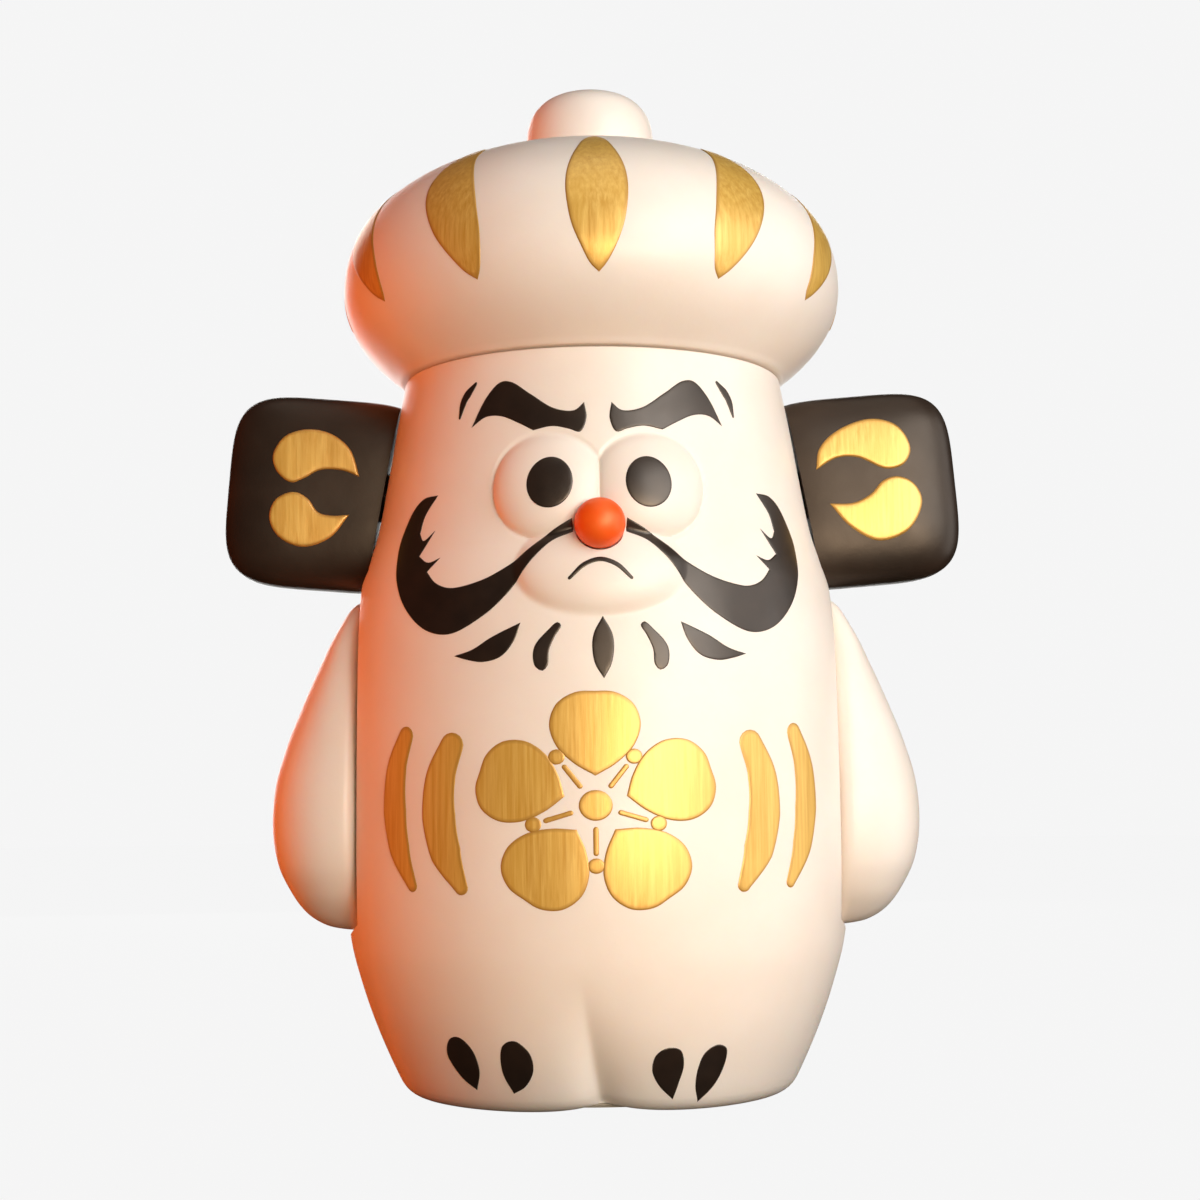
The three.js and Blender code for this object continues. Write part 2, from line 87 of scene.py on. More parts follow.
ARM_INNER = 46.3
ARM_PIVOT = 76
ARM_SEAT = 44.9
ARM_PEG = 6
ARM_WALL = 2.4
ARM_CORNER = 2.4
ARM_BOSS = (5, 1, 10)  # radius, start and end along the peg
ARM_BORE = (-6, 8)
ARM_VENT = 48  # height
ARM_VENT_REACH = (-6, 4)
ARM_STATIONS = np.array([  # height, thickness, half depth
    (32, 0, 0), (33, 7, 6), (35.5, 11, 10), (39.5, 14, 14), (45, 16.6, 16.8), (52, 17.7, 17.8),
    (60, 17.2, 17.5), (68, 15, 16), (76, 11.9, 13.8), (84, 8.4, 11), (91, 4.9, 8), (95, 2.4, 5),
    (96.6, 0, 0),
])

WING_ANCHOR = (41.6, 4, 118.3)
WING_TILT = 10.3
WING_DROOP = 5.7
WING_SINK = 0.2
WING_MIDDLE = 12.0  # centre of the slab, outwards from the anchor
WING_HALF = (20.2, 19.4, 9.0)  # half length, half height, half thickness
WING_SEAT = 20.8
WING_GAP = 0.4
WING_CORNER = 4.4  # power of the outline
WING_EDGE = 3.4  # power of the edge
WING_PEG = 5
WING_SOCKET = 5.5
WING_BACKING = 11  # radius of the thick wall behind a socket
WING_WALL = 2.4
WING_BOSS = (4.5, 1, 12)
WING_BORE = (-8, 10)
WING_VENT = 9.5  # behind the peg
WING_VENT_REACH = (-6, 6)
SCREW_HOLE = 1.8
VENT = 1.5
PEG_ROOT = 4  # how far a peg reaches into its own piece
CUT = 12  # reach of a cutter past the skin
FAR = 60  # reach of a cutter past a whole piece

# ---- sizes of the fine skins only
CREASE_DEPTH = 4.1
CREASE_WIDE = 6.5  # spread on the figure's left foot
CREASE_NARROW = 2.6  # spread on its right foot
CREASE_ROUND = 0.7
CREASE_SHIFT = 0.5
CREASE_LEAN = 0.14
CREASE_FOOT = 3
CREASE_TOP = 28
CREASE_FADE = 1.2
NOTCH_RISE = 2.2
NOTCH_SPREAD = 6
NOTCH_FADE = 12
SOLE_RIM = 0.5  # flat rim round the opening
SOLE_RING = 32.6  # a row of points on the sole
NECK_RING = 26  # a row of points on the flat top of the neck
HOLLOW_ROWS = 40
PLATE_ROW = 0.6  # a row of points on the plate and the pads, as a share of the way out
HAT_ROUND = 0.6  # height where the hat's round edge ends
HAT_EDGE = [(-0.9, 0), (-0.3, 0.2)]  # steps of that edge: from the flank, above the underside
RECESS_CLEAR = 0.4  # from the finial's recess to the last row of the crown
RECESS_EDGE = [(0.15, 0.02), (0, -0.25)]
FINIAL_FOOT = [(0, 0.3), (0.75, 0.8), (1.3, 1.5), (1.65, 2.3)]  # from the seat, above the bottom
SOLE_TURN = 4  # outwards from the middle of the sole's round, where the crease is at full depth
VALLEY_ROOM = 0.2  # least step between the opening and the wall inside

EYE = {"angle": 12.8, "z": 114.4, "half": (9.7, 10.3), "bulge": 3.2, "depth": 5.6}
MUZZLE = {"angle": 0, "z": 99.6, "half": (12.4, 8.3), "bulge": 2.4, "depth": 6.2}
EYE_SEAM = {"blend": 0.35, "depth": 0.3, "width": 0.5}  # between the two domes
EYE_EDGE = {"blend": 0.5, "depth": 0.3, "width": 0.55}
MUZZLE_EDGE = {"blend": 0.9, "depth": 0.08, "width": 0.7}

FACE_ANGLE = 33
FACE_HEIGHTS = (87, 127)
FACE_COLUMN = 0.42  # degrees
FACE_ROW = 0.36
LOW_ROW = 1.6


# ---- number helpers
def smooth_table(table, key, column=1):
    """Smooth curve through the rows of a table, with central slopes."""
    k, v = table[:, 0], table[:, column]
    last = len(k) - 1
    slopes = np.array([
        (v[min(i + 1, last)] - v[max(i - 1, 0)]) / (k[min(i + 1, last)] - k[max(i - 1, 0)])
        for i in range(last + 1)
    ])
    key = np.clip(key, k[0], k[-1])
    i = np.clip(np.searchsorted(k, key, side="right") - 1, 0, last - 1)
    step = k[i + 1] - k[i]
    t = (key - k[i]) / step
    return (
        (2 * t**3 - 3 * t**2 + 1) * v[i]
        + (t**3 - 2 * t**2 + t) * step * slopes[i]
        + (3 * t**2 - 2 * t**3) * v[i + 1]
        + (t**3 - t**2) * step * slopes[i + 1]
    )


def smoothstep(x, low, high):
    t = np.clip((x - low) / (high - low), 0, 1)
    return t * t * (3 - 2 * t)


def soft_max(a, b, blend):
    """The larger of two heights, with a fillet where they cross."""
    h = np.maximum(blend - np.abs(a - b), 0) / blend
    return np.maximum(a, b) + h * h * blend / 4


def arc(cx, cy, radius, start, end, steps):
    turn = np.radians(np.linspace(start, end, steps + 1))
    return list(zip(cx + radius * np.cos(turn), cy + radius * np.sin(turn)))


# ---- mesh helpers
def new_mesh(name, points, faces):
    """A smooth-shaded mesh object from points in millimetres."""
    mesh = bpy.data.meshes.new(name)
    mesh.from_pydata((np.asarray(points, float) * MM).tolist(), [], [list(f) for f in faces])
    mesh.validate()
    obj = bpy.data.objects.new(name, mesh)
    bpy.context.scene.collection.objects.link(obj)
    return obj


def finish_mesh(obj, sharp=38):
    """Outward normals, smooth shading and crisp edges above an angle in degrees."""
    mesh = obj.data
    select_only(obj)
    bpy.ops.object.mode_set(mode="EDIT")
    bpy.ops.mesh.select_all(action="SELECT")
    bpy.ops.mesh.normals_make_consistent(inside=False)
    bpy.ops.object.mode_set(mode="OBJECT")
    mesh.polygons.foreach_set("use_smooth", [True] * len(mesh.polygons))
    mesh.set_sharp_from_angle(angle=math.radians(sharp))
    return obj


def weld(obj):
    """Merges the slivers that booleans leave."""
    made = bmesh.new()
    made.from_mesh(obj.data)
    bmesh.ops.remove_doubles(made, verts=made.verts, dist=WELD * MM)
    bmesh.ops.dissolve_degenerate(made, dist=WELD * MM, edges=made.edges)
    made.to_mesh(obj.data)
    made.free()
    return obj


def select_only(obj):
    for other in bpy.context.selected_objects:
        other.select_set(False)
    obj.select_set(True)
    bpy.context.view_layer.objects.active = obj


def loop_grid(rows, name):
    """Closed ring of closed rows: every row is an (n, 3) array, and the last meets the first."""
    count = len(rows)
    n = len(rows[0])
    i, j = np.meshgrid(np.arange(count), np.arange(n), indexing="ij")
    i2, j2 = (i + 1) % count, (j + 1) % n
    faces = np.stack([i * n + j, i * n + j2, i2 * n + j2, i2 * n + j], -1).reshape(-1, 4)
    return new_mesh(name, np.concatenate(rows), faces)


def capped_grid(rows, name):
    """Rows from one end point to another: the first and last rows shrink to a point."""
    n = len(rows[1])
    points = [rows[0][:1]] + rows[1:-1] + [rows[-1][:1]]
    faces = []
    for j in range(n):
        faces.append((0, 1 + (j + 1) % n, 1 + j))
    middle = len(rows) - 2
    for i in range(middle - 1):
        a, b = 1 + i * n, 1 + (i + 1) * n
        faces += [(a + j, a + (j + 1) % n, b + (j + 1) % n, b + j) for j in range(n)]
    end = 1 + middle * n
    a = end - n
    faces += [(end, a + j, a + (j + 1) % n) for j in range(n)]
    return new_mesh(name, np.concatenate(points), faces)


def round_ring(radius, z, turn):
    """Points at a radius and height, turned from the front."""
    return np.stack([radius * np.sin(turn), -radius * np.cos(turn), z + 0 * turn], -1)


def full_turn(count):
    return np.linspace(0, 2 * math.pi, count, endpoint=False)


def lathe(profile, name, sides=96):
    """Solid turned about Z. A profile that starts and ends on the axis is capped there."""
    rows = [round_ring(r, z, full_turn(sides)) for r, z in profile]
    on_axis = profile[0][0] == 0
    return capped_grid(rows, name) if on_axis else loop_grid(rows, name)


def rod(radius, start, end, name="cutter", sides=64):
    return lathe([(0, start), (radius, start), (radius, end), (0, end)], name, sides)


def moved(obj, matrix):
    """Moves the mesh itself by a matrix whose shift is in millimetres."""
    matrix = matrix.copy()
    matrix.translation = matrix.translation * MM
    obj.data.transform(matrix)
    if matrix.determinant() < 0:
        obj.data.flip_normals()
    return obj


def boolean(obj, tools, operation="DIFFERENCE"):
    for tool in tools:
        modifier = obj.modifiers.new("cut", "BOOLEAN")
        modifier.operation = operation
        modifier.solver = "MANIFOLD"
        modifier.object = tool
        select_only(obj)
        bpy.ops.object.modifier_apply(modifier=modifier.name)
        bpy.data.objects.remove(tool)
    return obj


# ---- head and body
def depth_ratio(z):
    return DEPTH_RATIO + (1 - DEPTH_RATIO) * smoothstep(z, *DEPTH_BLEND)


def sole_fillet():
    """Centre radius of the round between sole and flank, and the height where it ends."""
    centre_z = BODY_BOTTOM + SOLE_ROUND
    slope = (smooth_table(FLANK, 4.0) - smooth_table(FLANK, 2.0)) / 2
    lean = math.atan(slope)
    centre_r = float(smooth_table(FLANK, centre_z)) - SOLE_ROUND / math.cos(lean)
    return centre_r, centre_z - SOLE_ROUND * math.sin(lean), math.degrees(lean)


FILLET_RADIUS, FILLET_TOP, FILLET_LEAN = sole_fillet()


def flank(z):
    """Radius of the trunk at a height, with the round at the soles."""
    z = np.asarray(z, float)
    rise = SOLE_ROUND**2 - (BODY_BOTTOM + SOLE_ROUND - z) ** 2
    fillet = FILLET_RADIUS + np.sqrt(np.maximum(rise, 0))
    return np.where(z < FILLET_TOP, fillet, smooth_table(FLANK, z))


def dome(angle, z, half, bulge, depth):
    """Ellipsoid that stands out of the sloping face: its centre and its scaled axes."""
    turn = math.radians(angle)
    radius = float(flank(z))
    slope = float(flank(z + 1) - flank(z - 1)) / 2
    foot = np.array([radius * math.sin(turn), -radius * float(depth_ratio(z)) * math.cos(turn), z])
    outward = np.array([math.sin(turn), -math.cos(turn), -slope]) / math.hypot(1, slope)
    across = np.array([math.cos(turn), math.sin(turn), 0])
    spread = math.sqrt(1 - ((depth - bulge) / depth) ** 2)
    axes = np.array([
        across * spread / half[0], outward / depth, np.cross(across, outward) * spread / half[1],
    ])
    return foot - (depth - bulge) * outward, axes


EYE_DOMES = (dome(**{**EYE, "angle": -EYE["angle"]}), dome(**EYE))
MUZZLE_DOME = dome(**MUZZLE)


def reach(dx, dy, z, centre, axes):
    """How far a level ray from the axis runs to the far side of a dome, or a large miss."""
    start = np.stack([0 * z - centre[0], 0 * z - centre[1], z - centre[2]], -1) @ axes.T
    way = np.stack([dx, dy, 0 * z], -1) @ axes.T
    a = (way**2).sum(-1)
    b = (start * way).sum(-1)
    c = (start**2).sum(-1) - 1
    under = b * b - a * c
    return np.where(under > 0, (-b + np.sqrt(np.maximum(under, 0))) / a, -1000)


def crease(x, z):
    """Depth of the valley between the feet. It leans a little and is wider on one side."""
    x = x + CREASE_LEAN * z + CREASE_SHIFT
    spread = np.where(x > 0, CREASE_WIDE, CREASE_NARROW)
    share = np.exp((CREASE_ROUND - np.hypot(x, CREASE_ROUND)) / spread)
    return CREASE_DEPTH * share * (1 - smoothstep(z, CREASE_FOOT, CREASE_TOP)) ** CREASE_FADE


def notch(x, z):
    """Rise of the bottom edge between the feet. It fades out up the front."""
    fade = np.clip(1 - (z - BODY_BOTTOM) / NOTCH_FADE, 0, 1) ** 2
    return NOTCH_RISE * np.exp(-np.hypot(x, 1) / NOTCH_SPREAD) * fade


def join_forms(a, b, blend, depth, width):
    """The outer of two surfaces, with a fillet and a fine valley where they cross."""
    return soft_max(a, b, blend) - depth * np.exp(-(((a - b) / width) ** 2))


def body_surface(angle, z, lift=0.0):
    """Points on the skin of head and body, `lift` millimetres outwards."""
    turn = np.radians(np.asarray(angle, float))
    z = np.asarray(z, float) + 0 * turn
    dx, dy = np.sin(turn), -depth_ratio(z) * np.cos(turn)
    radius = flank(z) + 0 * turn
    left, right = [reach(dx, dy, z, *eye) for eye in EYE_DOMES]
    radius = join_forms(radius, join_forms(left, right, **EYE_SEAM), **EYE_EDGE)
    radius = join_forms(radius, reach(dx, dy, z, *MUZZLE_DOME), **MUZZLE_EDGE)
    at_front = np.cos(turn) > 0
    radius = radius - np.where(at_front, crease(radius * dx, z), 0)
    height = z + np.where(at_front, notch(radius * dx, z), 0)
    return np.stack([dx * (radius + lift), dy * (radius + lift), height], -1)


def sole_ring(radius, z, turn):
    """A ring on the underside. It rises between the feet, and its inner rim stays oval."""
    dx, dy = np.sin(turn), -DEPTH_RATIO * np.cos(turn)
    at_front = np.cos(turn) > 0
    share = smoothstep(radius, SOLE_OPENING + SOLE_RIM, FILLET_RADIUS + SOLE_TURN) * at_front
    inward = radius - crease(radius * dx, z) * share
    return np.stack([dx * inward, dy * inward, z + notch(radius * dx, z) * at_front], -1)


def body_columns():
    """Angles of the columns: close together over the face, wider round the back."""
    face = np.arange(-FACE_ANGLE, FACE_ANGLE, FACE_COLUMN)
    rest = np.linspace(FACE_ANGLE, 360 - FACE_ANGLE, 132, endpoint=False)
    return np.radians(np.concatenate([face, rest]))


def body_heights():
    low = np.arange(FILLET_TOP, FACE_HEIGHTS[0], LOW_ROW)
    face = np.arange(*FACE_HEIGHTS, FACE_ROW)
    high = np.linspace(FACE_HEIGHTS[1], BODY_TOP - NECK_ROUND, 9)
    return np.concatenate([low, face, high])


def inner_ring(radius, z, turn):
    """A ring of the hollow, flattened beside the arms and thick behind the wing sockets."""
    valley = crease(radius * np.sin(turn), z) * (np.cos(turn) > 0)
    radius = np.minimum(radius, np.maximum(radius - valley, SOLE_OPENING + VALLEY_ROOM))
    points = np.stack([
        radius * np.sin(turn),
        -radius * float(depth_ratio(z)) * np.cos(turn),
        np.full(len(turn), float(z)),
    ], -1)
    limit = ARM_INNER - GAP - WALL
    points[:, 0] = np.clip(points[:, 0], -limit, limit)
    tilt = math.radians(WING_TILT)
    above = (z - WING_ANCHOR[2]) * math.sin(tilt)
    socket = (WING_ANCHOR[0] * math.cos(tilt) - WING_SOCKET - above) / math.cos(tilt)
    near = np.hypot(points[:, 1] - WING_ANCHOR[1], z - WING_ANCHOR[2]) < WING_BACKING
    points[:, 0] = np.where(near, np.clip(points[:, 0], -socket, socket), points[:, 0])
    return points


def body_shell():
    """Closed skin of the trunk, from the sole opening up the outside and down the inside."""
    turn = body_columns()
    angle = np.degrees(turn)
    rows = [sole_ring(r, BODY_BOTTOM, turn) for r in (SOLE_OPENING, SOLE_RING, FILLET_RADIUS)]
    fillet = arc(FILLET_RADIUS, BODY_BOTTOM + SOLE_ROUND, SOLE_ROUND, -80, -FILLET_LEAN - 6, 6)
    rows += [sole_ring(r, z, turn) for r, z in fillet]
    rows += [body_surface(angle, z) for z in body_heights()]
    top = float(flank(BODY_TOP - NECK_ROUND))
    rows += [
        round_ring(r, z, turn)
        for r, z in arc(top - NECK_ROUND, BODY_TOP - NECK_ROUND, NECK_ROUND, 30, 90, 2)
    ]
    rows += [round_ring(r, BODY_TOP, turn) for r in (NECK_RING, NECK_OPENING)]
    ceiling = BODY_TOP - WALL
    rows.append(round_ring(NECK_OPENING, ceiling, turn))
    for z in np.linspace(ceiling, BODY_BOTTOM + 2 * WALL, HOLLOW_ROWS):
        rows.append(inner_ring(float(flank(z)) - WALL, z, turn))
    floor = BODY_BOTTOM + WALL
    rows.append(inner_ring(float(flank(floor)) - WALL - FLOOR_STEP, floor, turn))
    rows.append(inner_ring(SOLE_OPENING, floor, turn))
    obj = finish_mesh(loop_grid(rows, "body_skin"))
    for place, radius, start, end, sides in (
        (arm_frame, ARM_SEAT, 0, CUT, 160), (arm_frame, ARM_PEG + GAP, -8, 6, 64),
        (wing_frame, WING_SEAT, 0.1, CUT, 96), (wing_frame, WING_PEG + GAP, -CUT, 6, 64),
    ):
        for side in (-1, 1):
            boolean(obj, [moved(rod(radius, start, end, sides=sides), place(side))])
    ball = lathe(ball_profile(NOSE["radius"] + GAP, 24), "cutter", 48)
    boolean(obj, [
        moved(ball, Matrix.Translation(Vector(NOSE["centre"]))),
        moved(rod(NOSE["peg"] + GAP, 0, NOSE["bore_end"], sides=32), nose_frame()),
    ])
    return finish_mesh(weld(obj), 40)


def base_plate():
    """Snap-in plate of the sole opening, oval like the soles, its lip cut back at the crease."""
    radius, bottom, top, edge = (PLATE[key] for key in ("radius", "bottom", "top", "edge"))
    profile = [
        (0, bottom), (PLATE_ROW * radius, bottom), (radius - edge, bottom),
        (radius, bottom + edge), (radius, PLATE["lip_bottom"]), (PLATE["lip"], PLATE["lip_bottom"]),
        (PLATE["lip"], PLATE["lip_bottom"] + edge), (PLATE["lip"] - PLATE["lip_taper"], top),
        (PLATE_ROW * radius, top), (0, top),
    ]
    turn = full_turn(144)
    room = float(flank(BODY_BOTTOM + WALL)) - WALL - FLOOR_STEP - GAP
    rows = []
    for r, z in profile:
        valley = crease(r * np.sin(turn), z) * (np.cos(turn) > 0)
        rows.append(round_ring(np.minimum(r, np.maximum(room - valley, radius)), z, turn))
        rows[-1][:, 1] *= DEPTH_RATIO
    obj = finish_mesh(capped_grid(rows, "base_plate_fine"))
    holes = []
    for i in range(PLATE_HOLES["count"]):
        angle = math.pi / 2 + 2 * math.pi * i / PLATE_HOLES["count"]
        x, y = PLATE_HOLES["circle"] * math.cos(angle), PLATE_HOLES["circle"] * math.sin(angle)
        hole = rod(PLATE_HOLES["radius"], PLATE_HOLES["floor"], top + 1, sides=32)
        holes.append(moved(hole, Matrix.Translation(Vector((x, y, 0)))))
    return finish_mesh(weld(boolean(obj, holes)), 40)


def foot_pad(side):
    """Half-oval rubber pad under one foot, with wide round corners beside the middle gap."""
    corner, edge, thickness = PAD["corner"], PAD["edge"], PAD["thickness"]
    a, b = PAD["radius"] - corner, DEPTH_RATIO * PAD["radius"] - corner
    inner = PAD["split"] + corner
    turn = full_turn(120)
    c, s = np.cos(turn), np.sin(turn)
    size = np.hypot(a * c, b * s)
    x, y = a * a * c / size, b * b * s / size
    end = b * math.sqrt(1 - (inner / a) ** 2)
    y = np.where(x < inner, np.sign(s) * end, y)
    x = np.maximum(x, inner)
    middle = (inner + a) / 2
    half = [(0, edge, 0), (PLATE_ROW, edge, 0), (1, edge, 0), (1, 0, edge)]
    rows = []
    for share, inset, z in half + [(*step, thickness - z) for *step, z in half[::-1]]:
        across = middle + share * (x + (corner - inset) * c - middle)
        along = share * (y + (corner - inset) * s)
        rows.append(np.stack([side * across, along, np.full(len(turn), z)], -1))
    return finish_mesh(capped_grid(rows, "foot_pad_fine"), 30)


def ball_profile(radius, steps):
    turn = np.radians(np.linspace(-90, 90, steps + 1))
    profile = [(radius * math.cos(t), radius * math.sin(t)) for t in turn]
    profile[0] = (0, -radius)
    profile[-1] = (0, radius)
    return profile


def nose_frame():
    """Z runs from the nose into the head."""
    return Matrix.Translation(Vector(NOSE["centre"])) @ Matrix.Rotation(math.radians(-90), 4, "X")


def nose():
    """Moulded ball on a peg, very slightly flattened at the front."""
    radius = NOSE["radius"]
    squash = [(r, z * (NOSE["squash"] if z < 0 else 1)) for r, z in ball_profile(radius, 32)]
    neck = [(r, z) for r, z in squash if not (z > 0 and r < NOSE["peg"])]
    end = NOSE["peg_end"]
    peg = [(NOSE["peg"], end - 0.6), (NOSE["peg"] - 0.5, end), (0, end)]
    return moved(lathe(neck + peg, "nose", 64), nose_frame())


# ---- hat
def hat_curve(inset, bottom, steps):
    """Half section of the hat from its underside to the crown, as (radius, height)."""
    radius, drop, rise = HAT["radius"] - inset, HAT["drop"] - inset, HAT["rise"] - inset
    start = -math.asin((HAT["middle"] - bottom) / drop)
    turn = np.linspace(start, math.pi / 2, steps + 1)
    c, s = np.maximum(np.cos(turn), 0), np.sin(turn)
    power = np.where(s < 0, 1, 2 / HAT["fullness"])
    depth = np.where(s < 0, drop, rise)
    height = HAT["middle"] + np.sign(s) * depth * np.abs(s) ** power
    return np.stack([radius * c**power, height], -1)


HAT_CURVE = hat_curve(0, HAT["bottom"], 400)
HAT_LENGTH = np.concatenate([[0], np.cumsum(np.hypot(*np.diff(HAT_CURVE, axis=0).T))])


def hat_along(z):
    """Distance along the section at a height."""
    return np.interp(z, HAT_CURVE[:, 1], HAT_LENGTH)


def hat_surface(angle, along, lift=0.0):
    radius = np.interp(along, HAT_LENGTH, HAT_CURVE[:, 0])
    z = np.interp(along, HAT_LENGTH, HAT_CURVE[:, 1])
    step = 0.05
    dr = np.interp(along + step, HAT_LENGTH, HAT_CURVE[:, 0]) - radius
    dz = np.interp(along + step, HAT_LENGTH, HAT_CURVE[:, 1]) - z
    size = np.maximum(np.hypot(dr, dz), 1e-9)
    return round_ring(radius + lift * dz / size, z - lift * dr / size, np.radians(angle))


def hat():
    """Hollow hat with a round lower edge and a recess for the finial."""
    bottom = HAT["bottom"]
    outside = hat_curve(0, bottom + HAT_ROUND, 84)
    seat = FINIAL["seat"] + 2 * GAP
    crown = [tuple(p) for p in outside if p[0] > seat + RECESS_CLEAR]
    rim = float(np.interp(seat, HAT_CURVE[::-1, 0][:200], HAT_CURVE[::-1, 1][:200]))
    floor = bottom + WALL
    inside = [tuple(p) for p in hat_curve(WALL, floor, 36) if p[0] > FINIAL["peg"] + 1][::-1]
    edge = outside[0][0]
    seat_z = FINIAL["bottom"] - GAP
    peg = FINIAL["peg"] + GAP
    profile = (
        [(HAT["hole"], bottom), (NECK_RING, bottom)]
        + [(edge + r, bottom + z) for r, z in HAT_EDGE] + crown
        + [(seat + r, rim + z) for r, z in RECESS_EDGE]
        + [(seat, seat_z), (peg, seat_z), (peg, inside[0][1] + 0.3)] + inside
        + [(HAT["hole"], floor)]
    )
    return finish_mesh(lathe(profile, "hat_skin", 200), 40)


def finial():
    """Soft bobble on a peg, a little narrower at its foot."""
    bottom, top, seat = FINIAL["bottom"], FINIAL["top"], FINIAL["seat"]
    peg, end = FINIAL["peg"], FINIAL["peg_end"]
    power = 2 / FINIAL["fullness"]
    height = top - bottom - FINIAL["foot"]
    dome = [
        (FINIAL["radius"] * math.cos(t) ** power,
         bottom + FINIAL["foot"] + height * math.sin(t) ** power)
        for t in np.radians(np.linspace(0, 90, 30))[:-1]
    ]
    profile = (
        [(0, end), (peg - 0.6, end), (peg, end + 0.6), (peg, bottom), (seat - 0.3, bottom)]
        + [(seat + r, bottom + z) for r, z in FINIAL_FOOT] + dome + [(0, top)]
    )
    return finish_mesh(lathe(profile, "finial", 96), 40)


# ---- arms
def arm_frame(side):
    """Z runs outwards along the arm's peg, from the seat on the body."""
    turn = Matrix.Rotation(side * math.radians(90), 4, "Y")
    return Matrix.Translation(Vector((side * (ARM_INNER - GAP), 0, ARM_PIVOT))) @ turn


def arm_size(z, column):
    """Thickness or half depth: the squares are interpolated, so the ends come out round."""
    squares = ARM_STATIONS.copy()
    squares[:, 1:] **= 2
    return np.sqrt(np.maximum(smooth_table(squares, z, column), 0))


def arm_section(z, inset):
    """Half ellipse with a flat inner face and two round corners, `inset` on every side."""
    thickness = max(float(arm_size(z, 1)) - 2 * inset, 0.05)
    depth = max(float(arm_size(z, 2)) - inset, 0.05)
    round_ = min(ARM_CORNER, 0.35 * thickness, 0.35 * depth)
    core = thickness - 2 * round_
    half = depth - round_
    turn = np.radians(np.linspace(-90, 90, 49))
    normal = np.stack([np.cos(turn) * half, np.sin(turn) * core], -1)
    normal /= np.linalg.norm(normal, axis=1)[:, None]
    outside = np.stack([round_ + core * np.cos(turn), half * np.sin(turn)], -1) + round_ * normal
    high = [(round_ + a, half + b) for a, b in arc(0, 0, round_, 105, 180, 5)]
    low = [(round_ + a, -half + b) for a, b in arc(0, 0, round_, 180, 255, 5)]
    flat = [(0, half * t) for t in (0.6, 0.2, -0.2, -0.6)]
    outline = np.array(list(map(tuple, outside)) + high + flat + low)
    x = ARM_INNER + inset + outline[:, 0]
    return np.stack([x, outline[:, 1], np.full(len(x), z)], -1)


def arm_form(inset, steps):
    """The drop shape, or its hollow, which stays well clear of the pointed ends."""
    low, high = ARM_STATIONS[0, 0] + 1.5 * inset, ARM_STATIONS[-1, 0] - 4 * inset
    heights = low + (high - low) * (1 - np.cos(np.linspace(0, math.pi, steps))) / 2
    rows = [arm_section(z, inset) for z in heights[1:-1]]
    ends = [
        np.array([[rows[i][:, 0].mean(), 0, z]]) for i, z in ((0, heights[0]), (-1, heights[-1]))
    ]
    return finish_mesh(capped_grid([ends[0]] + rows + [ends[1]], "arm_form"))


def jointed(obj, side, name, place, peg, boss, bore, vent_place, vent):
    """Adds the peg and screw boss, cuts the screw bore and vent, and mirrors a right piece."""
    boolean(obj, [moved(rod(*peg), place), moved(rod(*boss), place)], "UNION")
    boolean(obj, [
        moved(rod(SCREW_HOLE, *bore, sides=24), place),
        moved(rod(VENT, *vent, sides=24), vent_place),
    ])
    if side < 0:
        moved(obj, Matrix.Scale(-1, 4, Vector((1, 0, 0))))
    obj.name = name
    return finish_mesh(weld(obj), 40)


def arm(side, name):
    """Hollow arm, modelled as the left one."""
    obj = boolean(arm_form(0, 110), [arm_form(ARM_WALL, 40)])
    place = arm_frame(1)
    vent_place = Matrix.Translation(Vector((0, 0, ARM_VENT - ARM_PIVOT))) @ place
    return jointed(
        obj, side, name, place, (ARM_PEG, -WALL, PEG_ROOT), ARM_BOSS, ARM_BORE,
        vent_place, ARM_VENT_REACH,
    )


# ---- hat wings
def wing_frame(side):
    x, y, z = WING_ANCHOR
    turn = Matrix.Rotation(side * math.radians(90 - WING_TILT), 4, "Y")
    return Matrix.Translation(Vector((side * x, y, z))) @ turn


def wing_bulge(u, v):
    """Half thickness of the soft slab at (outwards, upwards) from the anchor."""
    droop = math.radians(WING_DROOP)
    v = v + WING_SINK
    x = math.cos(droop) * u - math.sin(droop) * v
    y = math.sin(droop) * u + math.cos(droop) * v
    length, height, thickness = WING_HALF
    ring = (
        np.abs((x - WING_MIDDLE) / length) ** WING_CORNER + np.abs(y / height) ** WING_CORNER
    ) ** (WING_EDGE / WING_CORNER)
    return thickness * np.maximum(1 - ring, 0) ** (1 / WING_EDGE)


def wing_point(side, u, v, w):
    """Frame point: u outwards along the axis, v upwards across it, w towards the front."""
    tilt = math.radians(WING_TILT)
    x = WING_ANCHOR[0] + u * math.cos(tilt) - v * math.sin(tilt)
    z = WING_ANCHOR[2] + u * math.sin(tilt) + v * math.cos(tilt)
    return np.stack([side * x, WING_ANCHOR[1] - w + 0 * x, z], -1)


def wing_form(inset, rings, sides):
    """Superellipsoid slab as rings from the middle of the back face to that of the front."""
    droop = math.radians(WING_DROOP)
    length, height, thickness = (h - inset for h in WING_HALF)
    around = full_turn(sides)
    c, s = np.cos(around), np.sin(around)
    size = (np.abs(c) ** WING_CORNER + np.abs(s) ** WING_CORNER) ** (-1 / WING_CORNER)
    rows = []
    for turn in np.linspace(-math.pi / 2, math.pi / 2, rings):
        power = 2 / WING_EDGE
        share = max(math.cos(turn), 0) ** power
        w = math.copysign(abs(math.sin(turn)) ** power, turn) * thickness
        x = WING_MIDDLE + length * share * c * size
        y = height * share * s * size
        u = math.cos(droop) * x + math.sin(droop) * y
        v = -math.sin(droop) * x + math.cos(droop) * y - WING_SINK
        rows.append(wing_point(1, u, v, w))
    return finish_mesh(capped_grid(rows, "wing_form"))


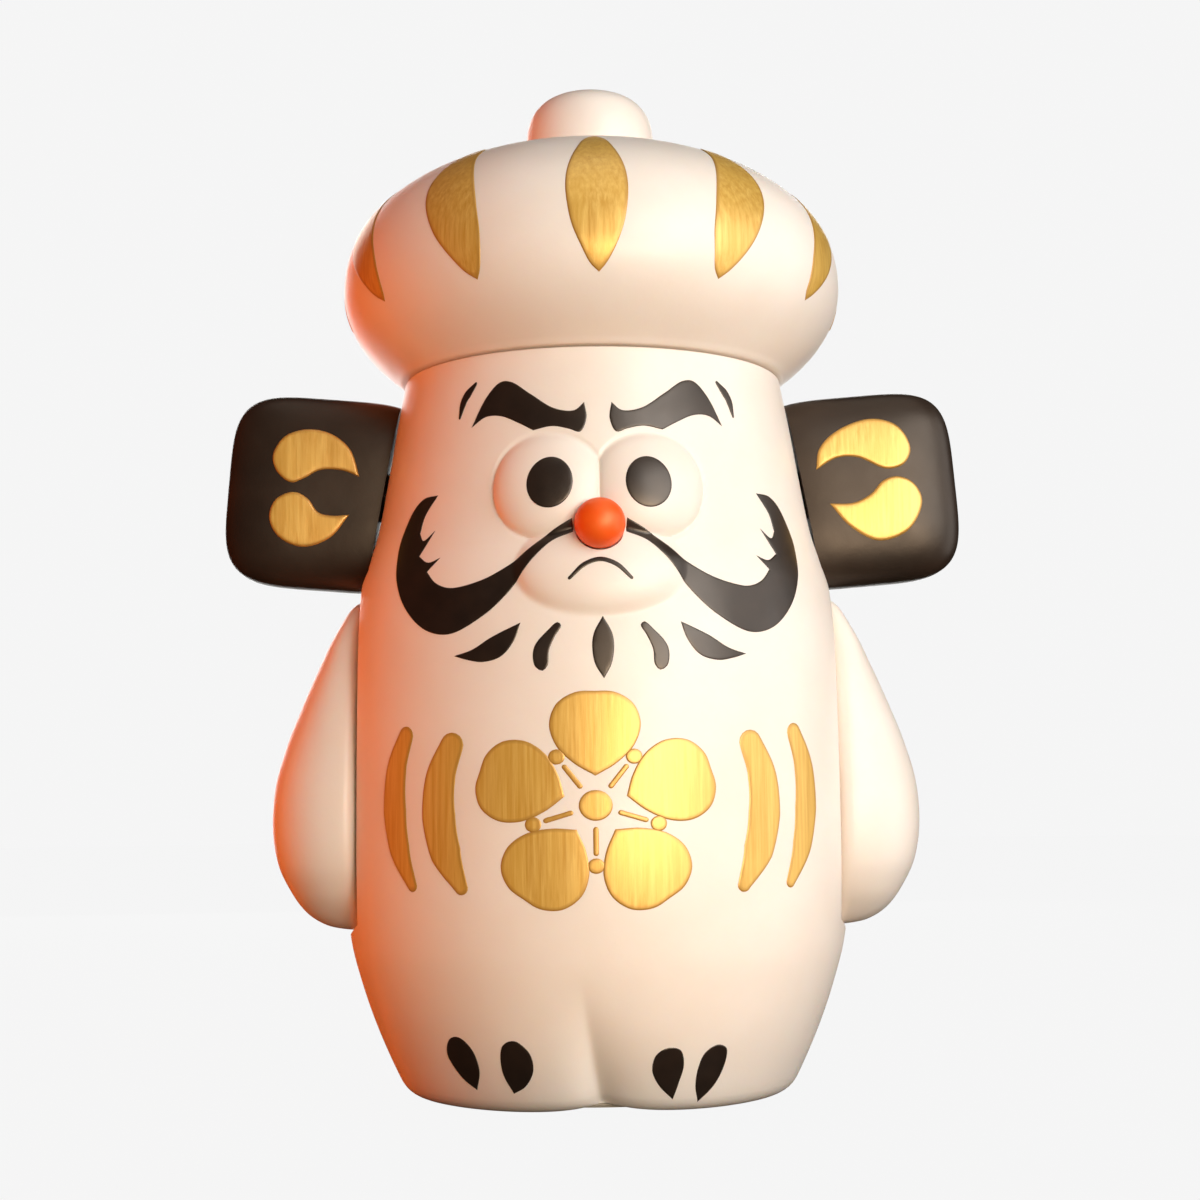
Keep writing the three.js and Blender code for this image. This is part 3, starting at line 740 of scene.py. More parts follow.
def wing(side, name):
    """Hollow slab cut off flat beside the head, modelled as the left one."""
    place = wing_frame(1)
    obj = wing_form(0, 65, 160)
    hollow = wing_form(WING_WALL, 25, 64)
    boolean(obj, [moved(rod(FAR, -FAR, WING_GAP, sides=48), place)])
    boolean(hollow, [moved(rod(FAR, -FAR, WING_GAP + WING_WALL, sides=48), place)])
    boolean(obj, [hollow])
    vent_place = place @ Matrix.Translation(Vector((WING_VENT, 0, 0)))
    return jointed(
        obj, side, name, place, (WING_PEG, -WING_SOCKET, PEG_ROOT), WING_BOSS, WING_BORE,
        vent_place, WING_VENT_REACH,
    )


# ---- outlines of painted marks
def curve(points, spacing):
    """Open smooth curve through points, about evenly sampled; the first point is kept."""
    p = np.array(points, float)
    if len(p) == 2:
        count = max(2, int(np.hypot(*(p[1] - p[0])) / spacing))
        return p[0] + (p[1] - p[0]) * np.linspace(0, 1, count, endpoint=False)[:, None]
    p = np.concatenate([[2 * p[0] - p[1]], p, [2 * p[-1] - p[-2]]])
    return spline(p, spacing)


def between(t, low, high, a, b):
    """The point at t on a line that is at a for t = low and at b for t = high."""
    return ((high - t) * a + (t - low) * b) / (high - low)


def spline(p, spacing):
    """Centripetal Catmull-Rom through p[1:-1]."""
    out = []
    for a, b, c, d in zip(p, p[1:], p[2:], p[3:]):
        chords = [np.hypot(*step) for step in (b - a, c - b, d - c)]
        k = np.cumsum([0] + [max(chord, 1e-6) ** 0.5 for chord in chords])
        steps = max(2, int(chords[1] / spacing))
        t = np.linspace(k[1], k[2], steps, endpoint=False)[:, None]
        ab = between(t, k[0], k[1], a, b)
        bc = between(t, k[1], k[2], b, c)
        cd = between(t, k[2], k[3], c, d)
        abc = between(t, k[0], k[2], ab, bc)
        bcd = between(t, k[1], k[3], bc, cd)
        out.append(between(t, k[1], k[2], abc, bcd))
    return np.concatenate(out)


def outline(points, spacing=0.5):
    """Closed outline through (x, y) points; a third value of 1 marks a corner."""
    p = np.array([q[:2] for q in points], float)
    corners = [i for i, q in enumerate(points) if len(q) > 2]
    if not corners:
        return spline(np.concatenate([p[-1:], p, p[:2]]), spacing)
    runs = []
    for start, end in zip(corners, corners[1:] + [corners[0] + len(p)]):
        runs.append(curve([p[i % len(p)] for i in range(start, end + 1)], spacing))
    return np.concatenate(runs)


def stroke(points, widths, spacing=0.4):
    """Closed outline of a brush stroke with round ends, from its middle line and widths."""
    line = np.concatenate([curve(points, spacing), [points[-1]]])
    t = np.linspace(0, 1, len(line))
    half = np.interp(t, np.linspace(0, 1, len(widths)), np.array(widths, float) / 2)
    along = np.gradient(line, axis=0)
    along /= np.linalg.norm(along, axis=1)[:, None]
    across = np.stack([-along[:, 1], along[:, 0]], -1)
    cap = np.linspace(0, math.pi, 9)[1:-1, None]
    start = line[0] + half[0] * (-along[0] * np.sin(cap) + across[0] * -np.cos(cap))
    end = line[-1] + half[-1] * (along[-1] * np.sin(cap) + across[-1] * np.cos(cap))
    return np.concatenate([
        line + half[:, None] * across, end, (line - half[:, None] * across)[::-1], start,
    ])


def inside(points, polygon):
    """Even-odd test of points against a closed outline."""
    x, y = points[:, :1], points[:, 1:2]
    x1, y1 = polygon[:, 0], polygon[:, 1]
    x2, y2 = np.roll(x1, -1), np.roll(y1, -1)
    spans = (y1 > y) != (y2 > y)
    cross = x1 + (y - y1) / np.where(y2 == y1, 1e-12, y2 - y1) * (x2 - x1)
    return (spans & (x < cross)).sum(1) % 2 == 1


def distance(points, polygon):
    """Distance of points to the closed outline."""
    a, b = polygon, np.roll(polygon, -1, axis=0)
    ab = b - a
    best = np.full(len(points), 1e9)
    for i in range(len(a)):
        t = np.clip((points - a[i]) @ ab[i] / max(ab[i] @ ab[i], 1e-12), 0, 1)
        best = np.minimum(best, np.linalg.norm(points - a[i] - t[:, None] * ab[i], axis=1))
    return best


FILM_RINGS = (0.45, 1.0)  # rings of points inside an outline, in widths of the rounded edge
FILM_SINK = 0.25  # how deep a paint film reaches into the skin
FILM_RIM = 0.02  # height of its border above the skin


def film(polygon, spacing, edge):
    """Points and triangles that fill an outline, with two rings of points just inside it."""
    x, y = polygon.T
    if np.sum(x * np.roll(y, -1) - np.roll(x, -1) * y) < 0:
        polygon = polygon[::-1]
    along = np.roll(polygon, -1, axis=0) - np.roll(polygon, 1, axis=0)
    along /= np.maximum(np.linalg.norm(along, axis=1), 1e-9)[:, None]
    inward = np.stack([-along[:, 1], along[:, 0]], -1)
    rings = np.concatenate([polygon + inward * edge * k for k in FILM_RINGS])
    low, high = polygon.min(0), polygon.max(0)
    xs = np.arange(low[0], high[0], spacing)
    ys = np.arange(low[1], high[1], spacing * 0.87)
    grid = np.array([(x + (i % 2) * spacing / 2, y) for i, y in enumerate(ys) for x in xs])
    grid = grid[inside(grid, polygon)]
    grid = grid[distance(grid, polygon) > edge + spacing * 0.4]
    rings = rings[inside(rings, polygon)]
    gap = distance(rings, polygon)
    wanted = np.where(gap < edge * 0.7, edge * FILM_RINGS[0], edge)
    rings = rings[gap > wanted * 0.93]
    points = np.concatenate([polygon, rings, grid])
    count = len(polygon)
    made = delaunay_2d_cdt([Vector(p) for p in points], [], [list(range(count))], 1, 1e-5)
    flat = np.array([tuple(v) for v in made[0]])
    return polygon, flat, np.array(made[2])


def mark(name, polygons, surface, body, slot, height=0.14, spacing=0.5, edge=0.3):
    """Thin raised paint film: closed bodies that follow a surface function of (x, y, lift)."""
    points, faces, rims = [], [], []
    base = 0
    for polygon in polygons:
        border, flat, triangles = film(polygon, spacing, edge)
        depth = distance(flat, border)
        lift = height * np.sqrt(1 - (1 - np.clip(depth / edge, 0, 1)) ** 2)
        on_edge = depth < 1e-4
        top = surface(flat[:, 0], flat[:, 1], np.where(on_edge, FILM_RIM, lift))
        bottom = surface(flat[:, 0], flat[:, 1], np.full(len(flat), -FILM_SINK))
        count = len(flat)
        points += [top, bottom]
        rims += [depth, depth]
        faces += [tuple(t + base) for t in triangles]
        faces += [tuple(t[::-1] + base + count) for t in triangles]
        for a, b in open_edges(triangles):
            faces.append((base + b, base + a, base + count + a, base + count + b))
        base += 2 * count
    obj = new_mesh(name, np.concatenate(points), faces)
    rim = obj.data.attributes.new("rim", "FLOAT", "POINT")
    rim.data.foreach_set("value", np.concatenate(rims).astype(np.float32))
    finish_mesh(obj, 50)
    obj.data.materials.append(MATERIALS[slot])
    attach(obj, body)
    return obj


def open_edges(triangles):
    """Directed edges that only one triangle has."""
    edges = [(t[i], t[(i + 1) % 3]) for t in triangles for i in range(3)]
    known = set(edges)
    return [(a, b) for a, b in edges if (b, a) not in known]


# surfaces of the marks: x is millimetres round the figure from its front
ROUND_MM = 45 * math.pi / 180  # millimetres per degree at a radius of 45


def on_body(x, y, lift):
    return body_surface(x / ROUND_MM, y, lift)


def on_hat(x, y, lift):
    return hat_surface(x / ROUND_MM, y, lift)


def on_wing(side):
    def surface(x, y, lift):
        return wing_point(side, x, y, wing_bulge(x, y) + lift)

    return surface


def body_outline(points, side=1, spacing=0.5):
    """Outline from (angle, height) points, mirrored for side -1."""
    return outline([(side * p[0] * ROUND_MM, *p[1:]) for p in points], spacing)


def body_stroke(points, widths, side=1):
    return stroke([(side * a * ROUND_MM, z) for a, z in points], widths)


# ---- material helpers
class Nodes:
    """Short calls for building one material's node tree."""

    def __init__(self, name):
        self.material = bpy.data.materials.new(name)
        self.material.use_nodes = True
        self.tree = self.material.node_tree
        self.shader = self.tree.nodes["Principled BSDF"]

    def node(self, kind, inputs=(), **settings):
        made = self.tree.nodes.new(kind)
        for key, value in settings.items():
            setattr(made, key, value)
        for key, value in dict(inputs).items():
            self.plug(value, made.inputs[key])
        return made

    def plug(self, value, socket):
        if isinstance(value, bpy.types.NodeSocket):
            self.tree.links.new(value, socket)
        else:
            socket.default_value = value

    def place(self, scale=(1, 1, 1)):
        """Object coordinates, stretched."""
        where = self.node("ShaderNodeTexCoord").outputs["Object"]
        return self.node("ShaderNodeMapping", {"Vector": where, "Scale": scale}).outputs[0]

    def noise(self, scale, detail=2.0, rough=0.5, stretch=(1, 1, 1)):
        return self.node("ShaderNodeTexNoise", {
            "Vector": self.place(stretch), "Scale": scale, "Detail": detail, "Roughness": rough,
        }).outputs["Fac"]

    def ramp(self, value, low, high, to_low=0.0, to_high=1.0):
        return self.node("ShaderNodeMapRange", {
            "Value": value, "From Min": low, "From Max": high, "To Min": to_low, "To Max": to_high,
        }).outputs[0]

    def mix(self, share, a, b):
        made = self.node("ShaderNodeMix", data_type="RGBA")
        self.plug(share, made.inputs[0])
        self.plug(colour(a), made.inputs[6])
        self.plug(colour(b), made.inputs[7])
        return made.outputs[2]

    def bump(self, height, distance_mm, strength=1.0, before=None):
        inputs = {"Height": height, "Distance": distance_mm * MM, "Strength": strength}
        if before is not None:
            inputs["Normal"] = before
        return self.node("ShaderNodeBump", inputs).outputs[0]

    def set(self, **values):
        for key, value in values.items():
            self.plug(colour(value), self.shader.inputs[key.replace("_", " ")])
        return self.material


def colour(value):
    """Adds the fourth number that a colour socket wants."""
    return (*value, 1) if isinstance(value, tuple) and len(value) == 3 else value


# ---- materials
def cream_vinyl():
    n = Nodes("cream_vinyl")
    cloud = n.ramp(n.noise(45, 3), 0.35, 0.65)
    tint = n.mix(cloud, (0.91, 0.82, 0.74), (0.88, 0.78, 0.69))
    grain = n.noise(3200, 3, 0.6)
    orange_peel = n.noise(520, 2)
    bump = n.bump(orange_peel, 0.05, 0.5, n.bump(grain, 0.012, 0.6))
    return n.set(
        Base_Color=tint, Roughness=n.ramp(n.noise(160, 4), 0.3, 0.7, 0.38, 0.47), Normal=bump,
        Subsurface_Weight=0.12, Subsurface_Radius=Vector((0.004, 0.0018, 0.001)),
        Subsurface_Scale=1.0, Coat_Weight=0.12, Coat_Roughness=0.35,
    )


def gold_paint():
    n = Nodes("gold_paint")
    streaks = n.noise(1.0, 5, 0.62, (1500, 1500, 60))
    broad = n.noise(1.0, 3, 0.5, (260, 260, 70))
    flakes = n.noise(5200, 2)
    body = n.mix(n.ramp(streaks, 0.32, 0.68), (0.74, 0.38, 0.045), (0.95, 0.62, 0.15))
    body = n.mix(n.ramp(broad, 0.3, 0.7, 0, 0.45), body, (0.88, 0.52, 0.08))
    rim = n.node("ShaderNodeAttribute", attribute_name="rim").outputs["Fac"]
    body = n.mix(n.ramp(rim, 0.15, 0.75), (0.60, 0.31, 0.05), body)
    bump = n.bump(streaks, 0.05, 0.6, n.bump(flakes, 0.01, 0.5))
    return n.set(
        Base_Color=body, Metallic=0.35, Roughness=n.ramp(streaks, 0.3, 0.7, 0.34, 0.46),
        Normal=bump, Coat_Weight=0.8, Coat_Roughness=0.45,
    )


def black_vinyl():
    n = Nodes("black_vinyl")
    tint = n.mix(n.ramp(n.noise(60, 3), 0.3, 0.7), (0.017, 0.011, 0.008), (0.030, 0.018, 0.012))
    bump = n.bump(n.noise(480, 2), 0.05, 0.5, n.bump(n.noise(3000, 3), 0.012, 0.6))
    return n.set(
        Base_Color=tint, Roughness=n.ramp(n.noise(150, 4), 0.3, 0.7, 0.36, 0.46), Normal=bump,
        Specular_IOR_Level=0.6, Specular_Tint=(1, 0.84, 0.68),
    )


def moulded(name, low, high, cloud, gloss, rough, grain, **more):
    """Two tints in slow clouds, uneven gloss and a fine grain of (scale, depth, strength)."""
    n = Nodes(name)
    return n.set(
        Base_Color=n.mix(n.ramp(n.noise(*cloud), 0.3, 0.7), low, high),
        Roughness=n.ramp(n.noise(*gloss), 0.3, 0.7, *rough),
        Normal=n.bump(n.noise(grain[0], 3), *grain[1:]),
        **more,
    )


def inner_piece(name, low, high, rough, metallic=0.0, grain=(1800, 0.02, 0.7)):
    """Moulded, cast or plated piece inside or under the figure."""
    spread = (rough - 0.05, rough + 0.08)
    return moulded(name, low, high, (90, 4), (200, 3), spread, grain, Metallic=metallic)


MATERIALS = {
    "cream_vinyl": cream_vinyl(),
    "black_vinyl": black_vinyl(),
    "orange_vinyl": moulded(
        "orange_vinyl", (0.92, 0.085, 0.004), (0.95, 0.13, 0.008),
        (120, 3), (300, 3), (0.42, 0.5), (2600, 0.012, 0.6),
        Subsurface_Weight=0.15, Subsurface_Radius=Vector((0.003, 0.0008, 0.0003)),
        Subsurface_Scale=1.0, Specular_IOR_Level=1.0, Specular_Tint=(1, 0.8, 0.45),
    ),
    "gold_paint": gold_paint(),
    "black_paint": moulded(
        "black_paint", (0.014, 0.009, 0.007), (0.022, 0.013, 0.009),
        (300, 3), (220, 3), (0.30, 0.40), (2600, 0.012, 0.6),
        Specular_IOR_Level=0.85, Specular_Tint=(1, 0.87, 0.74),
    ),
    "ivory_abs": inner_piece("ivory_abs", (0.62, 0.57, 0.48), (0.56, 0.51, 0.43), 0.45),
    "zinc_steel": inner_piece("zinc_steel", (0.55, 0.55, 0.57), (0.42, 0.43, 0.45), 0.3, 1.0),
    "ballast_iron": inner_piece(
        "ballast_iron", (0.10, 0.10, 0.11), (0.055, 0.05, 0.05), 0.6, 0.9, (700, 0.15, 0.7),
    ),
    "pad_rubber": inner_piece(
        "pad_rubber", (0.020, 0.019, 0.018), (0.032, 0.030, 0.028), 0.85, 0.0, (900, 0.08, 0.7),
    ),
}


def add_piece(obj, body, slot, *replaced):
    obj.data.materials.clear()
    obj.data.materials.append(MATERIALS[slot])
    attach(obj, body)
    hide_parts(*replaced)
    return obj


# ---- camera
CAMERA_PLACE = (1.05, -400, 57)  # millimetres, before the yaw
CAMERA_TURNS = (5.7, -0.62, -1.5)  # pitch, roll and yaw in degrees


def make_camera():
    """Level with the belly and looking a little up, from just beside the middle."""
    pitch, roll, yaw = (math.radians(turn) for turn in CAMERA_TURNS)
    forward = Vector((0, math.cos(pitch), math.sin(pitch)))
    right = Vector((1, 0, 0))
    up = right.cross(forward)
    right, up = (
        math.cos(roll) * right + math.sin(roll) * up,
        math.cos(roll) * up - math.sin(roll) * right,
    )
    turn = Matrix.Rotation(yaw, 3, "Z")
    axes = Matrix([turn @ right, turn @ up, turn @ -forward]).transposed()
    data = bpy.data.cameras.new("camera")
    data.lens = 60
    data.sensor_width = 36
    data.clip_start = 0.01
    camera = bpy.data.objects.new("camera", data)
    place = axes.to_4x4()
    place.translation = turn @ Vector(CAMERA_PLACE) * MM
    camera.matrix_world = place
    bpy.context.scene.collection.objects.link(camera)
    bpy.context.scene.camera = camera


# ---- solid pieces
def make_pieces():
    add_piece(body_shell(), "figure", "cream_vinyl", "body_shell")
    add_piece(base_plate(), "figure", "ivory_abs", "base_plate")
    add_piece(finish_mesh(nose(), 40), "figure", "orange_vinyl", "nose_ball")
    add_piece(hat(), "hat", "cream_vinyl", "hat_shell")
    add_piece(finial(), "hat", "cream_vinyl", "hat_finial")
    for side, name in SIDES:
        add_piece(foot_pad(side), "figure", "pad_rubber", f"{name}_foot_pad")
        add_piece(arm(side, f"{name}_arm_skin"), f"{name}_arm", "cream_vinyl", f"{name}_arm")
        add_piece(wing(side, f"{name}_wing_skin"), f"{name}_wing", "black_vinyl", f"{name}_wing")
    slots = {s["node"]: s["material_slot"] for s in frame["record"]["subparts"]}
    for node, obj in frame["nodes"].items():
        obj.data.materials.clear()
        obj.data.materials.append(MATERIALS[slots[node]])


# ---- painted marks
BROW = [
    (3.6, 129.4, 1), (6.2, 127.9), (11.5, 128.4), (18.2, 131.4), (24.2, 134.1), (27.6, 134.2),
    (31.5, 131.5), (35.4, 126.0, 1), (31.2, 127.7), (26.5, 127.6), (21.5, 126.1), (17, 124.4, 1),
    (12, 125), (7.6, 124.4), (4.6, 123.8), (3.0, 126.4),
]
ACCENT = [(35.6, 134.5), (38.9, 131.7), (39.9, 128.3)]
MOUSTACHE = [
    (6.2, 107.5, 1), (10.6, 105.4), (15.5, 102.5), (19.8, 99.8), (25.8, 97.2), (32, 95.9),
    (35.6, 95.8), (39.5, 96.9),
    (42.9, 99.2, 1), (39.6, 101.7, 1), (43.2, 101.0), (47, 102.4, 1), (43.4, 107.1, 1),
    (46.9, 105.4), (48.9, 106.9, 1), (48.5, 110), (44.6, 113.9, 1), (50.3, 113.6), (54.4, 111.2),
    (56.8, 106), (54.7, 99.8), (49.5, 93.5), (41, 88.2), (34, 87.2), (26, 90.2), (20.8, 93.9),
    (17.3, 97.5), (14, 100.8), (10.4, 103.5), (6.0, 105.0, 1),
]
BEARD_OUTER = [
    (32.7, 83.1, 1), (28.3, 84.1), (23.6, 86.3), (17.2, 88.7, 1), (18.6, 85.4), (21.4, 82.7),
    (25.5, 81.8), (29.4, 82.3),
]
BEARD_INNER = [
    (9.2, 88.6), (11.2, 87.2), (13.9, 84.6), (14.4, 82.6), (13.8, 80.6), (12.3, 79.9),
    (11.2, 80.9), (10.9, 83.6), (9.6, 86.2), (8.4, 88.0),
]
BEARD_MIDDLE = [(0.4, 89.6, 1), (2.3, 86.6), (2.7, 84.2), (2.1, 81), (0.5, 78.4, 1), (-1.3, 81),
                (-1.9, 84.2), (-1.5, 86.6)]
PUPIL = {"angle": 11.4, "z": 114.1, "half": (5.35, 4.75)}  # degrees and millimetres
MOUTH = [(-6.4, 96.3), (-3.3, 98.8), (0, 99.7), (3.3, 98.8), (6.4, 96.3)]

TOES = {
    "toe_right_outer": [(-39.7, 14.2), (-36.6, 14.6), (-33.6, 12.4), (-33.0, 8.6), (-35.6, 4.8, 1),
                        (-39.4, 7.0), (-42.0, 11.2)],
    "toe_right_inner": [(-24.9, 13.4), (-21.5, 14.4), (-18.2, 12.2), (-17.9, 9.0), (-20.6, 6.0),
                        (-24.4, 4.5, 1), (-26.3, 8.4)],
    "toe_left_inner": [(12.6, 11.6), (15.2, 12.9), (18.6, 12.4), (20.1, 9.6), (19.6, 6.0),
                       (18.9, 3.0, 1), (14.4, 5.8), (12.1, 8.8)],
    "toe_left_outer": [(25.2, 11.6), (28.2, 13.0), (31.2, 12.2), (31.8, 9.4), (30.4, 5.6),
                       (26.6, 2.3, 1), (24.6, 5.4), (24.2, 8.8)],
}

PETALS = 11
PETAL = [
    (0, 181.8), (3.0, 180.4), (5.0, 176.8), (6.5, 172), (6.8, 168), (6.4, 163.9), (5.5, 159.8),
    (3.8, 155.8), (1.9, 152.9), (0.3, 151.4, 1), (-1.6, 152.9), (-3.4, 155.8), (-5.3, 159.8),
    (-6.3, 163.9), (-6.8, 168), (-6.5, 172), (-5.0, 176.8), (-3.0, 180.4),
]
PETAL_WAIST = 164.5
PETAL_LEAN = 0.8  # degrees per millimetre of height, on a petal at the side

WING_MARKS = {  # (outwards, upwards) in millimetres from the wing's anchor
    "right_wing_upper": [(23.4, 3.4), (21.9, 7.6), (17.8, 9.9), (13, 9.9), (8.5, 7.4),
                         (5.6, 2.2, 1), (9.2, 2.9), (13.6, 2.2), (16.2, 0.2), (18.8, -1.2),
                         (21.9, 0.4)],
    "right_wing_lower": [(18, -3), (21.3, -5.2), (21.8, -9), (19.3, -12.3), (14.3, -13.5),
                         (9.2, -10.8), (6.2, -5.6, 1), (9.6, -6.4), (12.4, -6.2), (15, -3.8)],
    "left_wing_upper": [(3.6, 3.4, 1), (8.1, 5.0), (12.2, 4.4), (17.6, 1.0), (21.3, 1.4),
                        (23.2, 4.2), (21.6, 9.2), (16.6, 11.7), (9.1, 10.4), (5.0, 7.4)],
    "left_wing_lower": [(4.9, -3.8, 1), (9.7, -4.5), (13.4, -3.4), (16.4, -1.2), (19.5, -0.9),
                        (22.4, -2.8), (23.4, -6.6), (19.6, -11.8), (13.2, -12.9), (8.0, -9.0)],
}

INNER_STROKE = [(32.8, 67.0), (35.6, 61.4), (36.2, 54.8), (34.4, 47.8), (30.6, 41.6)]
OUTER_STROKE = [(45.8, 68.9), (48.7, 63.2), (49.4, 55.8), (47.6, 48.2), (43.8, 41.8)]

EMBLEM_CENTRE = (-1.5, 56)
BLOSSOM_PETAL = [  # (outwards, sideways) in millimetres from the blossom's centre
    (5.2, 0, 1), (7.4, 3.4), (10.6, 6.3), (14.4, 7.4), (18.0, 6.2), (20.0, 3.2), (20.2, 0),
    (20.0, -3.2), (18.0, -6.2), (14.4, -7.4), (10.6, -6.3), (7.4, -3.4),
]
BLOSSOM = {"petals": 5, "centre": 2.7, "stamen": (4.2, 8.4), "width": 0.9, "tip": 10.6,
           "tip_radius": 1.35}


def circle(x, y, radius, steps=48):
    turn = full_turn(steps)
    return np.stack([x + radius * np.cos(turn), y + radius * np.sin(turn)], -1)


def paint_face():
    fine = {"spacing": 0.45, "edge": 0.22, "height": 0.12}
    marks = []
    for side, name in SIDES:
        pupil = circle(0, 0, 1) * (PUPIL["half"][0] * ROUND_MM, PUPIL["half"][1])
        pupil += (side * PUPIL["angle"] * ROUND_MM, PUPIL["z"])
        marks += [
            (f"{name}_brow", body_outline(BROW, side)),
            (f"{name}_brow_accent", body_stroke(ACCENT, [0.8, 1.9, 1.7, 0.6], side)),
            (f"{name}_moustache", body_outline(MOUSTACHE, side)),
            (f"{name}_beard_outer", body_outline(BEARD_OUTER, side)),
            (f"{name}_beard_inner", body_outline(BEARD_INNER, side)),
            (f"{name}_pupil", pupil),
        ]
    marks.append(("beard_middle", body_outline(BEARD_MIDDLE)))
    marks.append(("mouth", body_stroke(MOUTH, [0.55, 0.8, 0.85, 0.8, 0.55])))
    marks += [(name, body_outline(points)) for name, points in TOES.items()]
    for name, polygon in marks:
        mark(name, [polygon], on_body, "figure", "black_paint", **fine)


def paint_chest():
    gold = ("figure", "gold_paint")
    for side, name in SIDES:
        inner = body_stroke(INNER_STROKE, [4.6, 6.2, 6.9, 6.2, 2.6], side)
        outer = body_stroke(OUTER_STROKE, [3.6, 5.4, 6.2, 5.2, 2.2], side)
        mark(f"{name}_chest_inner_stroke", [inner], on_body, *gold, spacing=0.7)
        mark(f"{name}_chest_outer_stroke", [outer], on_body, *gold, spacing=0.7)
    cx, cy = EMBLEM_CENTRE[0] * ROUND_MM, EMBLEM_CENTRE[1]
    petals, stamens = [], []
    step = 360 / BLOSSOM["petals"]
    for i in range(BLOSSOM["petals"]):
        turn = math.radians(90 + step * i)
        out = np.array([math.cos(turn), math.sin(turn)])
        across = np.array([-out[1], out[0]])
        petal = outline(BLOSSOM_PETAL)
        petals.append((cx, cy) + petal[:, :1] * out + petal[:, 1:] * across)
        turn += math.radians(step / 2)
        out = np.array([math.cos(turn), math.sin(turn)])
        ends = [(cx, cy) + r * out for r in BLOSSOM["stamen"]]
        stamens.append(stroke(ends, [BLOSSOM["width"]] * 2))
        stamens.append(circle(*((cx, cy) + BLOSSOM["tip"] * out), BLOSSOM["tip_radius"], 32))
    mark("blossom_petals", petals, on_body, *gold, spacing=0.7)
    mark("blossom_stamens", stamens, on_body, *gold, spacing=0.7)
    mark("blossom_centre", [circle(cx, cy, BLOSSOM["centre"])], on_body, *gold, spacing=0.7)


def paint_hat():
    for i in range(PETALS):
        middle = 360 / PETALS * i
        lean = PETAL_LEAN * math.sin(math.radians(middle))
        points = [
            ((middle + a + lean * (z - PETAL_WAIST)) * ROUND_MM, float(hat_along(z)), *corner)
            for a, z, *corner in PETAL
        ]
        mark(f"hat_petal_{i + 1}", [outline(points)], on_hat, "hat", "gold_paint", spacing=0.8)


def paint_wings():
    for name, points in WING_MARKS.items():
        side = -1 if name.startswith("right") else 1
        body = "right_wing" if side < 0 else "left_wing"
        mark(
            f"{name}_comma", [outline(points)], on_wing(side), body, "gold_paint",
            height=0.3, spacing=0.7, edge=0.5,
        )


# ---- light and floor
def area_light(name, place, target, size, power, tint):
    data = bpy.data.lights.new(name, "AREA")
    data.shape = "RECTANGLE"
    data.size, data.size_y = size
    data.energy = power
    data.color = tint
    light = bpy.data.objects.new(name, data)
    light.location = place
    light.rotation_euler = (Vector(target) - Vector(place)).to_track_quat("-Z", "Y").to_euler()
    light.visible_camera = False
    bpy.context.scene.collection.objects.link(light)
    return light


LIGHTS = {  # place and target in metres, width and height, watts, colour
    "key_softbox": ((0.34, -0.47, 0.28), (0, 0, 0.10), (0.42, 0.42), 2.5, (0.95, 0.97, 1)),
    "low_fill": ((0.17, -0.57, 0.07), (0, 0, 0.09), (0.32, 0.12), 1.7, (1, 0.83, 0.63)),
    "side_softbox": ((0.50, -0.09, 0.15), (0, 0, 0.10), (0.3, 0.5), 0.8, (0.96, 0.97, 1)),
    "top_softbox": ((0.05, -0.15, 0.62), (0, 0, 0.1), (0.5, 0.5), 0.52, (1, 0.96, 0.92)),
    "back_softbox": ((-0.06, 0.62, 0.25), (0, 0, 0.1), (0.6, 0.5), 3.8, (0.97, 0.98, 0.96)),
    "warm_side": ((-0.42, 0.09, 0.07), (0, 0, 0.09), (0.45, 0.45), 2.6, (1, 0.14, 0.004)),
    "floor_bounce": ((0, -0.15, 0.001), (0, -0.15, 1), (0.36, 0.2), 0.085, (1, 0.5, 0.18)),
}
UNREFLECTED = ("warm_side", "floor_bounce")
AMBIENT = (1, 0.78, 0.55, 1)
AMBIENT_STRENGTH = 0.025
BACKDROP_STRENGTH = 0.915
FLOOR_STRENGTH = 0.911


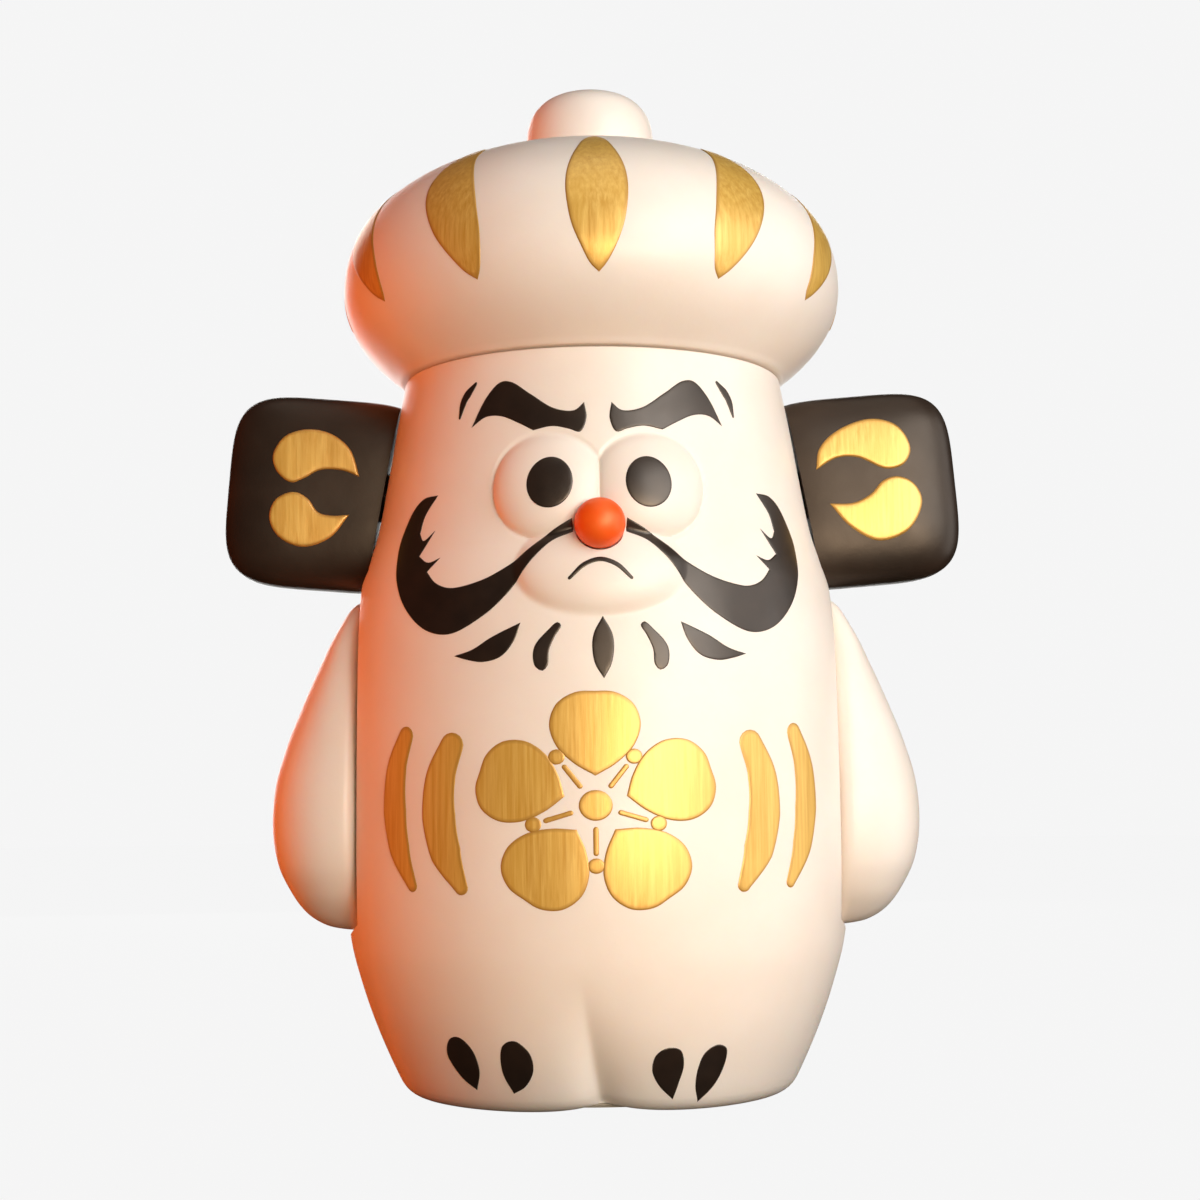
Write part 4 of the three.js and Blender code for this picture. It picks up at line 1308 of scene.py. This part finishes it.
def make_light():
    """Softboxes, a faint warm ambient light and a white backdrop that only the camera sees."""
    for name, settings in LIGHTS.items():
        light = area_light(name, *settings)
        light.visible_glossy = name not in UNREFLECTED
    world = bpy.data.worlds.new("studio")
    bpy.context.scene.world = world
    world.use_nodes = True
    tree = world.node_tree
    background = tree.nodes["Background"]
    background.inputs["Color"].default_value = AMBIENT
    background.inputs["Strength"].default_value = AMBIENT_STRENGTH
    white = tree.nodes.new("ShaderNodeBackground")
    white.inputs["Color"].default_value = (1, 1, 1, 1)
    white.inputs["Strength"].default_value = BACKDROP_STRENGTH
    path = tree.nodes.new("ShaderNodeLightPath")
    mix = tree.nodes.new("ShaderNodeMixShader")
    tree.links.new(path.outputs["Is Camera Ray"], mix.inputs[0])
    tree.links.new(background.outputs[0], mix.inputs[1])
    tree.links.new(white.outputs[0], mix.inputs[2])
    tree.links.new(mix.outputs[0], tree.nodes["World Output"].inputs[0])
    bpy.context.scene.view_settings.view_transform = "Standard"


def make_floor():
    """A wide plain disc. It glows like the backdrop, so the two meet without an edge."""
    turn = full_turn(96)
    ring = np.stack([np.cos(turn), np.sin(turn), 0 * turn], -1)
    rows = [ring * r for r in (150, 600, 2500)]
    points = np.concatenate([[[0, 0, 0]]] + rows)
    n = len(turn)
    faces = [(0, 1 + j, 1 + (j + 1) % n) for j in range(n)]
    for i in range(len(rows) - 1):
        a, b = 1 + i * n, 1 + (i + 1) * n
        faces += [(a + j, b + j, b + (j + 1) % n, a + (j + 1) % n) for j in range(n)]
    floor = new_mesh("floor", points, faces)
    n = Nodes("floor")
    tint = n.mix(n.ramp(n.noise(3, 3), 0.3, 0.7), (0.006, 0.006, 0.006), (0.005, 0.005, 0.005))
    floor.data.materials.append(n.set(
        Base_Color=tint, Roughness=0.7, Specular_IOR_Level=0.0,
        Emission_Color=(1, 1, 1), Emission_Strength=FLOOR_STRENGTH,
    ))
    floor.visible_diffuse = False
    floor.visible_glossy = False


make_camera()
make_pieces()
paint_face()
paint_chest()
paint_hat()
paint_wings()
make_light()
make_floor()
